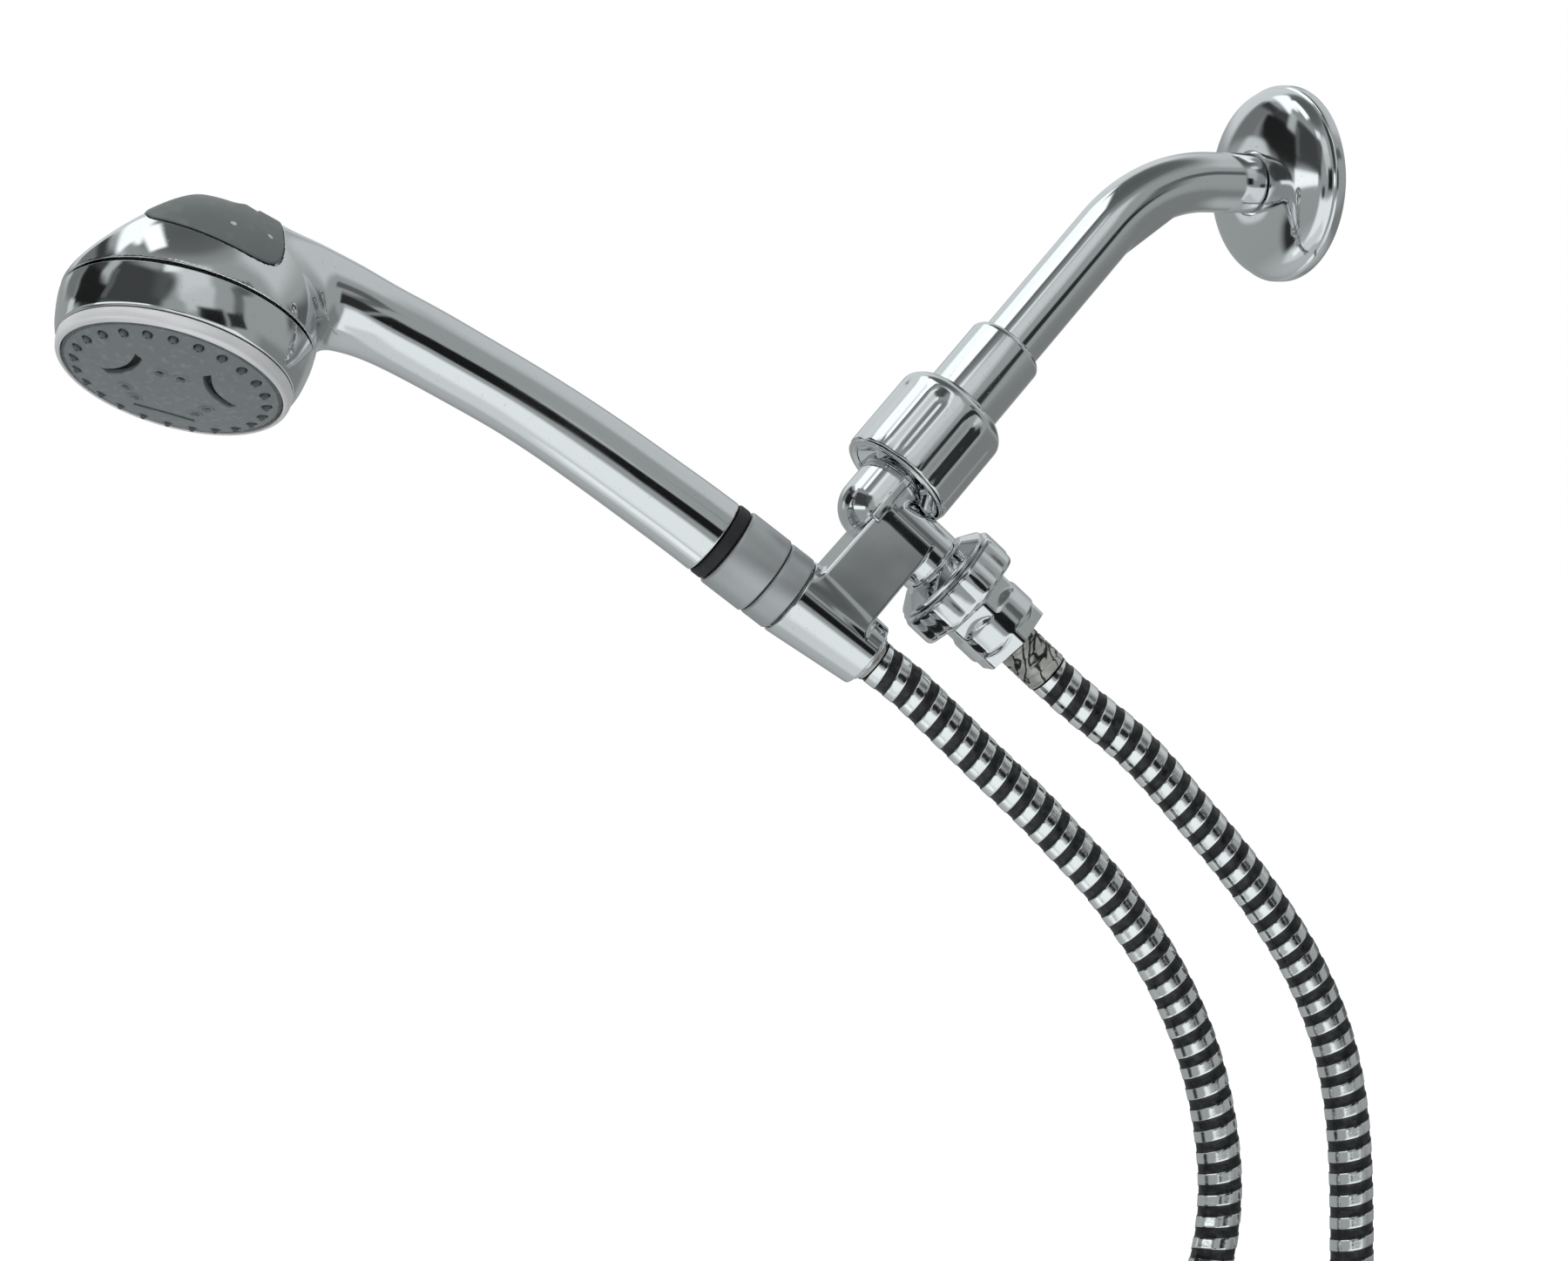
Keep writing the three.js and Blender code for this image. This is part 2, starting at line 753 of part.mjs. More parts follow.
const POCKET_DEPTH = 1.3;
const SCREW_ANGLES = [75, -75];
const SCREW_CIRCLE = 25;

function handleHousing() {
  const skin = crownSolid(0);
  const hollow = solidOf(handleBody(HANDLE_LINE.slice(2), SHELL));
  const inlet = alongX(ring(0, 9.25, HANDLE_START - 1, 60));
  const cavity = intoHandset(dome(-SHELL, SEAM_HEIGHT - 1));
  let body = cut(skin, inlet, cavity).subtract(hollow);
  const pocket = solidOf(intoHandset(inlayPrism(INLAY_GAP)));
  const band = crownSolid(0.5).subtract(crownSolid(-POCKET_DEPTH));
  body = body.subtract(pocket.intersect(band));
  for (const angle of SCREW_ANGLES) {
    const post = intoHandset(around(ring(0, 3.6, 34.4, 46.5, 10), SCREW_CIRCLE, angle));
    const bore = intoHandset(around(ring(0, 1.7, 34, 45.4, 8), SCREW_CIRCLE, angle));
    body = body.add(solidOf(post)).subtract(solidOf(bore));
  }
  return geometryOf(mainBody(body));
}

function crownInlay() {
  const floor = crownSolid(INLAY_GAP - POCKET_DEPTH);
  const skin = crownSolid(0.8).subtract(floor);
  return geometryOf(mainBody(skin.intersect(solidOf(intoHandset(inlayPrism(0))))));
}

add(handset, "handle_housing", handleHousing(), chrome);
add(handset, "crown_inlay", crownInlay(), slate);

// ---- Waterway and manifold ----

const BOSS_HEIGHT = 43;
const BOSS_MOUTH = -36;
const PORT_ANGLES = [30, 150, 270];

const atPort = (geometry, angle) => around(geometry, 14, angle);
const atScrew = (geometry, angle) => around(geometry, SCREW_CIRCLE, angle);

function waterway() {
  const route = [
    [46.4, -0.4],
    [76, -1.5],
    [112, -4.4],
    [153, -11.3],
    [171, -17.5],
    [185, -22.6],
    [194, -25.6],
  ].map(([x, z]) => new THREE.Vector3(x, 0, z));
  return pipe(new THREE.CatmullRomCurve3(route), 5.8, 4.4, 8, 10);
}

function headManifold() {
  const chamber = turned([
    [0, 21.4],
    [33, 21.4],
    [33, 27],
    [29.2, 34.1],
    [0, 34.1],
  ]);
  const boss = moved(alongX(ring(0, 8.8, BOSS_MOUTH, 4)), 0, 0, BOSS_HEIGHT);
  const column = ring(0, 8, 30, BOSS_HEIGHT);
  const rooms = [
    ring(0, 20, 23.4, 32),
    moved(alongX(ring(0, 6.3, BOSS_MOUTH - 1, -8)), 0, 0, BOSS_HEIGHT),
    moved(alongX(ring(0, 4.4, -9, 0, 12)), 0, 0, BOSS_HEIGHT),
    moved(ring(0, 3.2, 31, BOSS_HEIGHT, 10), -9, 0, 0),
    moved(ring(0, 1.8, 20, 29.4, 8), 0, 25, 0),
    ring(0, 4.4, 20, 24),
    ...PORT_ANGLES.map((angle) => atPort(ring(0, 2.6, 20, 24, 8), angle)),
    ...SCREW_ANGLES.map((angle) => atScrew(ring(0, 1.8, 20, 36, 8), angle)),
  ];
  return geometryOf(cut(join(chamber, boss, column), ...rooms));
}

function manifoldScrew(angle) {
  const profile = [
    [0, 19.4],
    [2.9, 19.4],
    [2.9, 21.1],
    [1.3, 21.1],
    [1.3, 43],
    [0, 44],
  ];
  return atScrew(turned(profile, 8), angle);
}

add(handset, "waterway", waterway(), whitePlastic);
add(head, "head_manifold", headManifold(), whitePlastic);
SCREW_ANGLES.forEach((angle, i) => add(head, `manifold_screw_${i + 1}`, manifoldScrew(angle), steel));
add(head, "manifold_o_ring", new THREE.TorusGeometry(30, 1.2, 4, 20).translate(0, 0, 19.9), rubber);

// ---- Dial: bezel, trim, face, nozzles and selector plate ----

const faceHeight = (r) => -FACE_BULGE * (1 - (r / FACE_RADIUS) ** 2);
const FACE_THICKNESS = 2;
const NIPPLES = 24;
const NIPPLE_CIRCLE = 30.8;
const JET_CIRCLE = 13;
const SLOT_ANGLES = [18, 138, 258];
const JET_ANGLES = [78, 198, 318];
const SLOT_CENTRE = 40;
const SLOT_RADIUS = 24;

function faceProfile(lower, upper, from, to, steps) {
  const stations = Array.from({ length: steps + 1 }, (_, i) => from + ((to - from) * i) / steps);
  const low = stations.map((r) => [r, faceHeight(r) + lower]);
  const high = stations.map((r) => [r, faceHeight(r) + upper]);
  return [...low, ...high.reverse()];
}

const nippleAt = (i) => {
  const angle = (i * Math.PI * 2) / NIPPLES;
  return [NIPPLE_CIRCLE * Math.cos(angle), NIPPLE_CIRCLE * Math.sin(angle)];
};

// A slot cutter bowed toward the face's centre.
function slotCutter(angle) {
  const half = 0.7;
  const spread = degrees(24);
  const shape = new THREE.Shape();
  shape.absarc(SLOT_CENTRE, 0, SLOT_RADIUS + half, Math.PI - spread, Math.PI + spread);
  shape.absarc(SLOT_CENTRE, 0, SLOT_RADIUS - half, Math.PI + spread, Math.PI - spread, true);
  const settings = { depth: 12, bevelEnabled: false, curveSegments: 4, steps: 1 };
  const cutter = new THREE.ExtrudeGeometry(shape, settings);
  return moved(cutter, 0, 0, -8).rotateZ(degrees(angle));
}

function jetCutters(angle) {
  return [-3.3, 3.3].map((side) =>
    moved(ring(0, 0.9, -8, 4, 6), JET_CIRCLE, side, 0).rotateZ(degrees(angle)),
  );
}

// The plate turns on its own centre post, which has a groove for the clip.
function sprayFace() {
  const post = turned([
    [0, -4.5],
    [4, -4.5],
    [4, 26.6],
    [3.4, 26.6],
    [3.4, 27.6],
    [4, 27.6],
    [4, 28.4],
    [0, 28.4],
  ]);
  const plate = join(turned(faceProfile(0, FACE_THICKNESS, 0, FACE_RADIUS, 3), 24), post);
  const cutters = [];
  for (let i = 0; i < NIPPLES; i += 1) {
    const [x, y] = nippleAt(i);
    cutters.push(moved(ring(0, 1.7, -5, 4, 4), x, y, 0));
  }
  SLOT_ANGLES.forEach((angle) => cutters.push(slotCutter(angle)));
  JET_ANGLES.forEach((angle) => cutters.push(...jetCutters(angle)));
  return geometryOf(cut(plate, ...cutters));
}

function nozzleMat() {
  const mat = turned(faceProfile(FACE_THICKNESS + GAP, FACE_THICKNESS + 1.9, 25, 34.6, 1), 24);
  const nipples = Array.from({ length: NIPPLES }, (_, i) => {
    const [x, y] = nippleAt(i);
    return moved(turned([[0, -3.2], [0.9, -3.2], [1.2, 2.4], [0, 2.4]], 4), x, y, 0);
  });
  return geometryOf(join(mat, ...nipples));
}

function trimRing() {
  return turned(
    [
      [FACE_RADIUS + 0.35, -0.3],
      [36.3, -0.5],
      [37.2, 0.2],
      [37.8, 1.8],
      [37.9, 4],
      [FACE_RADIUS + 0.35, 4],
    ],
    24,
  );
}

function selectorBezel() {
  return turned(
    [
      [36, 4.4],
      [38.2, 4.4],
      [39.4, 7.5],
      [40.4, 12],
      [41, 16.5],
      [HEAD_RADIUS, 18.7],
      [36, 18.7],
    ],
    24,
  );
}

function selectorPlate() {
  const plate = solidOf(ring(4.4, 35.4, 14.4, 17.8, 24));
  const ports = PORT_ANGLES.map((angle) => atPort(ring(0, 3.2, 13, 19, 12), angle));
  return geometryOf(cut(plate, ...ports));
}

add(head, "spray_face", sprayFace(), slate);
add(head, "nozzle_mat", nozzleMat(), rubber);
add(head, "trim_ring", trimRing(), satin);
add(head, "selector_bezel", selectorBezel(), chrome);
add(head, "selector_plate", selectorPlate(), whitePlastic);
add(head, "retaining_clip", ring(3.8, 5.6, 26.85, 27.35, 16), steel);
add(head, "detent_ball", new THREE.SphereGeometry(1.3, 8, 6).translate(0, 25, 19.4), steel);
add(head, "detent_spring", moved(coil(1.15, 0.25, 21.2, 28.8, 4), 0, 25, 0), steel);

// ---- Massage rotor ----

function turbine() {
  const hub = ring(4.5, 7, 5, 12.5, 16);
  const floor = ring(6.6, 20, 5, 6.4);
  const blades = Array.from({ length: 6 }, (_, i) =>
    moved(new THREE.BoxGeometry(13, 1.2, 6.5), 13, 0, 9).rotateZ(degrees(60 * i)),
  );
  return geometryOf(join(hub, floor, ...blades));
}

add(head, "turbine", turbine(), whitePlastic);

// ---- Hose ----

// The hose leaves the bracket ferrule, hangs in a loop and comes up to the cone.
const HOSE_ROUTE = [
  [21.5, -115.04, -169.52],
  [23.16, -110.6, -173.96],
  [26.9, -100.9, -182.8],
  [31.4, -88.9, -193.2],
  [35.7, -77.3, -205.8],
  [40, -65.7, -220],
  [44.6, -53.3, -235.6],
  [48.6, -42.6, -250.8],
  [52.4, -32.6, -267],
  [55.5, -24.4, -284],
  [58, -18, -303],
  [59.6, -13.8, -325],
  [60.4, -11.8, -352],
  [60.7, -11.2, -400],
  [60.6, -11.2, -470],
  [60.2, -11.2, -540],
  [59.8, -11.3, -585],
  [59.4, -12, -628],
  [58.7, -21.4, -667],
  [57.9, -47, -695.5],
  [56.9, -82, -706],
  [55.9, -117, -695.5],
  [55, -142.6, -667],
  [54.3, -152, -628],
  [53.7, -150, -590],
  [53, -141, -546],
  [52.2, -124.5, -500],
  [51.2, -102.5, -453],
  [50.3, -81, -410],
  [49.7, -64.5, -376],
  [48.9, -60.2, -350],
  [47.8, -62.4, -325],
  [46.1, -67.2, -304],
  [43.9, -73.8, -286],
  [41.2, -81.6, -270],
  [38, -90.9, -255],
  [34.4, -101.6, -240.3],
  [30.4, -113.4, -226.8],
  [26.4, -125, -214],
  [22.4, -136.9, -202],
  [18.4, -148.7, -189.8],
  [14.6, -159.7, -178.4],
  [12.18, -166.7, -171.39],
  [10.52, -171.55, -167.39],
  [8.87, -176.4, -163.4],
];

function hose() {
  const curve = new THREE.CatmullRomCurve3(HOSE_ROUTE.map((point) => new THREE.Vector3(...point)));
  return pipe(curve, HOSE_RADIUS, 0, 40, 8);
}

add(shower, "hose", hose(), hoseCover);

export default shower;
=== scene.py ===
"""A hand-held shower on its wall arm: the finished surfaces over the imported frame.

Shapes are worked out in millimetres, each in the frame of the piece that carries it, and every
mesh is put into the row frame in metres.
"""

import json
import math

import bmesh
import bpy
import numpy as np
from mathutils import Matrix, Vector


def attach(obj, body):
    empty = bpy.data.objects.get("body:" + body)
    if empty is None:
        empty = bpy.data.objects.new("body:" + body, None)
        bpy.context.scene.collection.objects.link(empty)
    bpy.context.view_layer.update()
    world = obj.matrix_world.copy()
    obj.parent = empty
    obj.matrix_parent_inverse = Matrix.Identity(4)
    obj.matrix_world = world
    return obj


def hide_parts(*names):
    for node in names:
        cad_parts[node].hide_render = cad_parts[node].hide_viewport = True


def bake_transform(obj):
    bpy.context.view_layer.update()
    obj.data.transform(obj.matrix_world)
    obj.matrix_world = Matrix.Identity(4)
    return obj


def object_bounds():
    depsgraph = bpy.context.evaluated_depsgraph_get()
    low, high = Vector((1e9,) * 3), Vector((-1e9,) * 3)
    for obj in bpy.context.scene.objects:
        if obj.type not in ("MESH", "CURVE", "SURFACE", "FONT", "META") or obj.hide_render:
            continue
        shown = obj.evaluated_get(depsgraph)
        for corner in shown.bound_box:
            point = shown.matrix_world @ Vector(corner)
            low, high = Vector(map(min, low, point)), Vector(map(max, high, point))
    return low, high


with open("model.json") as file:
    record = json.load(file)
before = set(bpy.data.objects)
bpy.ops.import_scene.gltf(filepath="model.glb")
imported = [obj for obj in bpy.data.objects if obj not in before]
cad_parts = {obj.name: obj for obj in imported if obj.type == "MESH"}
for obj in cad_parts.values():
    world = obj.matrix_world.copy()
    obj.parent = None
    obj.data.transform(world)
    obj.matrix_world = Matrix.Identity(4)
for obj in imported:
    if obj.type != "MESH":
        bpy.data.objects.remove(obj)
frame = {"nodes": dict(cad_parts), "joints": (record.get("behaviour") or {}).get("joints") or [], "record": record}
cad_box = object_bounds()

MM = 0.001
TURN = 2 * math.pi
# Points closer than this, in metres, are welded into one.
WELD = 2e-6
ROUGHING = 1.0

# ---- Driving dimensions, in millimetres ----

GAP = 0.3

PIPE_RADIUS = 10.65
PIPE_BORE = 7.9
ARM_STUB = 15
ARM_STRAIGHT = 35.3
ARM_BEND_RADIUS = 60.5
ARM_DROP = math.radians(45)
ARM_TAIL = 75
ARM_EDGE = 0.7
THREAD_START = 0.8
THREAD_END = 12.5
THREAD_PITCH = 1.8
THREAD_DEPTH = 0.95
THREAD_TAPER = 0.25

FLANGE_RADIUS = 35
FLANGE_SKIRT = 4.2
FLANGE_DEPTH = 16
FLANGE_BORE = 11.4
FLANGE_HEM = 4.5
SHEET = 1.4
COLLAR_RADIUS = 13.75
COLLAR_SHOULDER = 17.6
COLLAR_SEAT = 28

BALL_RADIUS = 15.5
BALL_BORE = 5
NUT_RADIUS = 20.3
NUT_TOP = 20.5
NUT_BOTTOM = -14
NUT_BORE = 17.1
NUT_MOUTH = 14.1
FLUTE_DEPTH = 1.0
BALL_NECK = 9
STEM_RADIUS = 11.8
STEM_TOP = 13
SOCKET_RADIUS = 8.4

OUTLET_LENGTH = 27.5
SPIGOT_RADIUS = 9.7
SPIGOT_REACH = 41
GRIP_RADIUS = 21.4
LOBE_DEPTH = 1.25
HOSE_NUT_START = 48
HOSE_NUT_END = 68
HOSE_NUT_RADIUS = 14.6
HOSE_NUT_BORE = 10.2
FERRULE_RADIUS = 8
FERRULE_BORE = 4.9
CREASE_DEPTH = 0.32
CRADLE_LENGTH = 33.5
CRADLE_RADIUS = 14.2
CRADLE_TAPER = 2.5
CRADLE_WALL = 1.8
CRADLE_SLOT = 16.8
CONE_LENGTH = 35

HANDLE_START = 32.7
HANDLE_END = 216
HANDLE_HOLLOW = 58
INLET_RADIUS = 9.25
INLET_END = 60
NECK_FILLET = 9.0
INLAY_GAP = 0.35
INLAY_PROUD = 0.6
INLAY_DEPTH = 0.95
POCKET_DEPTH = 1.3
HEAD_RADIUS = 41.1
SEAM_HEIGHT = 19.6
DOME_HEIGHT = 40.4
SHELL = 2.3
DIAL_ROOM = 1.6
BEZEL_BORE = 36
BEZEL_FOOT = 4.4
BEZEL_TOP = 18.4
LIP_RADIUS = 37.9
LIP_DEPTH = 4
FACE_RADIUS = 35.3
FACE_BULGE = 6
FACE_THICKNESS = 2

HOSE_RADIUS = 7.75
HOSE_PITCH = 8.0


# ---- Places: the frames that pieces are drawn in ----


def unit(v):
    v = np.asarray(v, float)
    return v / np.linalg.norm(v)


class Place:
    """A frame with its origin in millimetres and its axes, in the row frame."""

    def __init__(self, origin, x, z):
        self.origin = np.asarray(origin, float)
        z = unit(z)
        x = unit(np.asarray(x, float) - z * np.dot(x, z))
        self.axes = np.array([x, np.cross(z, x), z]).T

    def out(self, points):
        return np.asarray(points, float) @ self.axes.T + self.origin

    def into(self, points):
        return (np.asarray(points, float) - self.origin) @ self.axes


joints = {joint["name"]: joint for joint in frame["joints"]}


def joint_point(name):
    return np.array(joints[name]["pos_m"]) / MM


def joint_axis(name):
    return np.array(joints[name]["axis"], float)


# WALL's Z runs from the wall into the room and BALL's Z up the arm. BRACKET's X runs along its
# outlet and its Z toward the ball. HANDSET's X runs from the cradle's rim up the handle, and HEAD's
# Z out of the crown, away from the spray.
UP_HANDLE = joint_axis("handset_turn")
OFF_SPRAY = joint_axis("dial_turn")
OFF_HANDLE = OFF_SPRAY - UP_HANDLE * (OFF_SPRAY @ UP_HANDLE)
ROW = Place((0, 0, 0), (1, 0, 0), (0, 0, 1))
WALL = Place((0, 0, 0), (1, 0, 0), (0, -1, 0))
BALL = Place(joint_point("ball_swivel"), (1, 0, 0), joint_axis("ball_swivel"))
BRACKET = Place(joint_point("hose_nut_turn"), joint_axis("ball_rock"), joint_axis("ball_swivel"))
HANDSET = Place(joint_point("handset_turn"), UP_HANDLE, OFF_HANDLE)
HEAD = Place(joint_point("dial_turn"), UP_HANDLE, OFF_SPRAY)


# ---- Camera ----


def camera():
    """A long lens a little above the ball joint, from the right of someone facing the wall."""
    lens = bpy.data.cameras.new("camera")
    lens.lens = 80
    lens.sensor_width = 36
    lens.clip_end = 50
    eye = bpy.data.objects.new("camera", lens)
    eye.location = (1.01565, -0.77221, -0.04793)
    eye.rotation_euler = (math.radians(84.87), 0, math.radians(60.89))
    bpy.context.scene.collection.objects.link(eye)
    bpy.context.scene.camera = eye


camera()


# ---- Finishes: shader maths as Python expressions ----


class Link:
    """A socket of a node tree that takes part in sums."""

    def __init__(self, sketch, socket):
        self.sketch = sketch
        self.socket = socket

    def __add__(self, other):
        return self.sketch.maths("ADD", self, other)

    __radd__ = __add__

    def __sub__(self, other):
        return self.sketch.maths("SUBTRACT", self, other)

    def __rsub__(self, other):
        return self.sketch.maths("SUBTRACT", other, self)

    def __mul__(self, other):
        return self.sketch.maths("MULTIPLY", self, other)

    __rmul__ = __mul__

    def __abs__(self):
        return self.sketch.maths("ABSOLUTE", self)


class Sketch:
    """A node tree while it is being drawn."""

    def __init__(self, tree):
        self.tree = tree
        tree.nodes.clear()

    def node(self, kind, settings=None, inputs=None, output=0):
        """Any node: its settings first, then the values or links of its sockets."""
        made = self.tree.nodes.new(kind)
        for name, value in (settings or {}).items():
            if name == "stops":
                self.stops(made.color_ramp, value)
            else:
                setattr(made, name, value)
        for name, value in (inputs or {}).items():
            self.feed(made.inputs[name], value)
        return Link(self, made.outputs[output]) if made.outputs else None

    def stops(self, ramp, stops):
        while len(ramp.elements) < len(stops):
            ramp.elements.new(1)
        for element, (position, shade) in zip(ramp.elements, stops):
            element.position = position
            element.color = (*shade, 1.0)

    def feed(self, socket, value):
        """A socket takes a link, or a plain value. A colour is red, green and blue."""
        if isinstance(value, Link):
            self.tree.links.new(value.socket, socket)
        elif socket.type == "RGBA":
            socket.default_value = (*value, 1.0)
        else:
            socket.default_value = value

    def maths(self, operation, *values):
        return self.node("ShaderNodeMath", {"operation": operation}, dict(enumerate(values)))

    def noise(self, scale, detail, where=None):
        where = where or self.node("ShaderNodeTexCoord", output="Object")
        inputs = {"Vector": where, "Scale": scale, "Detail": detail}
        return self.node("ShaderNodeTexNoise", None, inputs)

    def band(self, value, low, high, to_low=0.0, to_high=1.0):
        """A value's run from low to high, eased and carried to another run."""
        inputs = {"Value": value, "From Min": low, "From Max": high, "To Min": to_low, "To Max": to_high}
        return self.node("ShaderNodeMapRange", {"interpolation_type": "SMOOTHSTEP"}, inputs)

    def spot(self, centre, radius):
        """1 near a point, in metres, and 0 beyond the radius."""
        inputs = {0: self.node("ShaderNodeTexCoord", output="Object"), 1: tuple(centre)}
        away = self.node("ShaderNodeVectorMath", {"operation": "DISTANCE"}, inputs, "Value")
        return self.band(away, radius * 0.6, radius, 1.0, 0.0)

    def blend(self, factor, a, b):
        """Colour a where factor is 0 and b where it is 1."""
        return self.node("ShaderNodeMix", {"data_type": "RGBA"}, {0: factor, 6: a, 7: b}, 2)

    def bump(self, height, distance):
        """Normals of a relief whose height is given in parts of a distance in metres."""
        return self.node("ShaderNodeBump", None, {"Height": height, "Distance": distance})


def finish(name, draw, **constants):
    """A material: draw(sketch) gives what varies over the surface, constants what doesn't."""
    material = bpy.data.materials.new(name)
    material.use_nodes = True
    sketch = Sketch(material.node_tree)
    values = {key.replace("_", " "): value for key, value in constants.items()}
    values.update(draw(sketch))
    shader = sketch.node("ShaderNodeBsdfPrincipled", None, values)
    sketch.node("ShaderNodeOutputMaterial", None, {"Surface": shader})
    return material


def polished(sketch):
    """Bright plate: a faint waviness, wiped smears and a few dull specks."""
    smears = sketch.noise(38, 4)
    specks = sketch.band(sketch.noise(900, 2), 0.66, 0.74)
    tone = sketch.blend(sketch.noise(14, 2), (0.72, 0.735, 0.75), (0.8, 0.81, 0.82))
    return {
        "Base Color": sketch.blend(specks * 0.35, tone, (0.5, 0.52, 0.54)),
        "Roughness": sketch.band(smears, 0.35, 0.75, 0.045, 0.12) + specks * 0.12,
        "Normal": sketch.bump(sketch.noise(55, 1), 0.00006),
    }


def satin(sketch):
    """Matted silver coating with a fine grain."""
    grain = sketch.noise(2600, 3)
    cloud = sketch.noise(70, 3)
    return {
        "Base Color": sketch.blend(cloud, (0.42, 0.44, 0.455), (0.5, 0.52, 0.53)),
        "Roughness": 0.3 + grain * 0.16,
        "Normal": sketch.bump(grain, 0.00003),
    }


def lip_silver_painted_bright(sketch):
    """The dial's lip: the satin silver of the bands painted brighter, a painted highlight for the light the lip
    catches, with the same fine grain.
    """
    grain = sketch.noise(2600, 3)
    return {
        # Base colour lighter than the satin bands' colour: painted light on a copy of the same silver.
        "Base Color": sketch.blend(sketch.noise(60, 3), (0.68, 0.69, 0.7), (0.78, 0.785, 0.79)),
        "Roughness": 0.28 + grain * 0.16,
        "Normal": sketch.bump(grain, 0.00002),
    }


def crimped(sketch):
    """Pressed sleeve: warm grey, with thin creases that wander, drawn out upright, and painted shade that darkens
    them near black.
    """
    grain = sketch.noise(1500, 3)
    place = sketch.node("ShaderNodeTexCoord", output="Object")
    inputs = {"Vector": place, "Rotation": (0.35, 0.2, 0), "Scale": (2.2, 2.2, 0.32)}
    drawn = sketch.node("ShaderNodeMapping", None, inputs)
    off_crease = abs(sketch.noise(105, 1, drawn) - 0.5)
    crease_and_painted_shade = sketch.band(off_crease, 0.012, 0.045, 1.0, 0.0)
    tone = sketch.blend(sketch.noise(60, 2), (0.42, 0.42, 0.4), (0.54, 0.54, 0.51))
    return {
        # The creases get painted shade: near black mixed into the base colour, while the same mask also bumps in
        # their relief.
        "Base Color": sketch.blend(crease_and_painted_shade, tone, (0.02, 0.02, 0.02)),
        "Roughness": 0.34 + grain * 0.2,
        "Normal": sketch.bump(crease_and_painted_shade * -1 + grain * 0.1, 0.0003),
    }


# The two pale marks on the saddle, in the head's frame, and their radius.
SADDLE_MARKS = [(1.4, 35.8, 40.5), (-11.3, 32.6, 42.6)]
MARK_RADIUS = 1.2


def slate_plastic(sketch):
    """Grey-green moulded plastic, eggshell grain, a scuffed tone and two pale marks."""
    grain = sketch.noise(3200, 2)
    scuffs = sketch.band(sketch.noise(240, 5), 0.5, 0.75)
    tone = sketch.blend(sketch.noise(30, 3), (0.085, 0.1, 0.1), (0.115, 0.132, 0.132))
    tone = sketch.blend(scuffs * 0.5, tone, (0.15, 0.17, 0.17))
    for mark in SADDLE_MARKS:
        spot = sketch.spot(HEAD.out(mark) * MM, MARK_RADIUS * MM)
        tone = sketch.blend(spot * (0.3 + sketch.noise(900, 2)), tone, (0.5, 0.5, 0.44))
    return {
        "Base Color": tone,
        "Roughness": 0.36 + grain * 0.14,
        "Normal": sketch.bump(grain, 0.00004),
    }


def face_plastic(sketch):
    """The spray plate's lighter slate, mottled by dried water."""
    grain = sketch.noise(3000, 2)
    marks = sketch.band(sketch.noise(420, 4), 0.52, 0.7)
    tone = sketch.blend(sketch.noise(60, 3), (0.15, 0.17, 0.178), (0.19, 0.212, 0.22))
    return {
        "Base Color": sketch.blend(marks * 0.6, tone, (0.25, 0.27, 0.28)),
        "Roughness": 0.42 + grain * 0.16,
        "Normal": sketch.bump(grain, 0.00005),
    }


def soft_rubber(sketch):
    """Black rubber, dusty in patches."""
    grain = sketch.noise(1800, 3)
    dust = sketch.band(sketch.noise(260, 4), 0.55, 0.8)
    return {
        "Base Color": sketch.blend(dust * 0.4, (0.012, 0.012, 0.013), (0.05, 0.05, 0.05)),
        "Roughness": 0.45 + grain * 0.2,
        "Normal": sketch.bump(grain, 0.00005),
    }


def nipple_rubber(sketch):
    """Grey rubber of the nozzles."""
    grain = sketch.noise(1800, 3)
    return {
        "Base Color": sketch.blend(grain, (0.09, 0.1, 0.106), (0.14, 0.155, 0.162)),
        "Roughness": 0.4 + grain * 0.2,
        "Normal": sketch.bump(grain, 0.00004),
    }


def hose_black(sketch):
    """The hose's dark winding: glossy, with drawn streaks."""
    streaks = sketch.band(sketch.noise(420, 4), 0.45, 0.75)
    return {
        "Base Color": sketch.blend(streaks, (0.004, 0.004, 0.005), (0.022, 0.023, 0.025)),
        "Roughness": sketch.band(sketch.noise(300, 3), 0.3, 0.7, 0.22, 0.5),
        "Normal": sketch.bump(sketch.noise(500, 2), 0.0001),
    }


def hose_bright(sketch):
    """The hose's bright strip, slightly milled and scratched."""
    scratches = sketch.noise(900, 4)
    return {
        "Base Color": sketch.blend(sketch.noise(120, 3), (0.8, 0.81, 0.82), (0.9, 0.905, 0.91)),
        "Roughness": sketch.band(scratches, 0.35, 0.7, 0.1, 0.17),
        "Normal": sketch.bump(scratches, 0.00003),
    }


def plain_metal(low, high, rough):
    """Machined metal inside the fittings: fine marks and stains."""

    def draw(sketch):
        stains = sketch.noise(150, 4)
        marks = sketch.noise(1600, 2)
        return {
            "Base Color": sketch.blend(stains, low, high),
            "Roughness": rough + marks * 0.2,
            "Normal": sketch.bump(marks, 0.00003),
        }

    return draw


def moulding(low, high):
    """Moulded plastic inside the handset."""

    def draw(sketch):
        grain = sketch.noise(1400, 3)
        return {
            "Base Color": sketch.blend(sketch.noise(60, 3), low, high),
            "Roughness": 0.4 + grain * 0.15,
            "Normal": sketch.bump(grain, 0.00004),
        }

    return draw


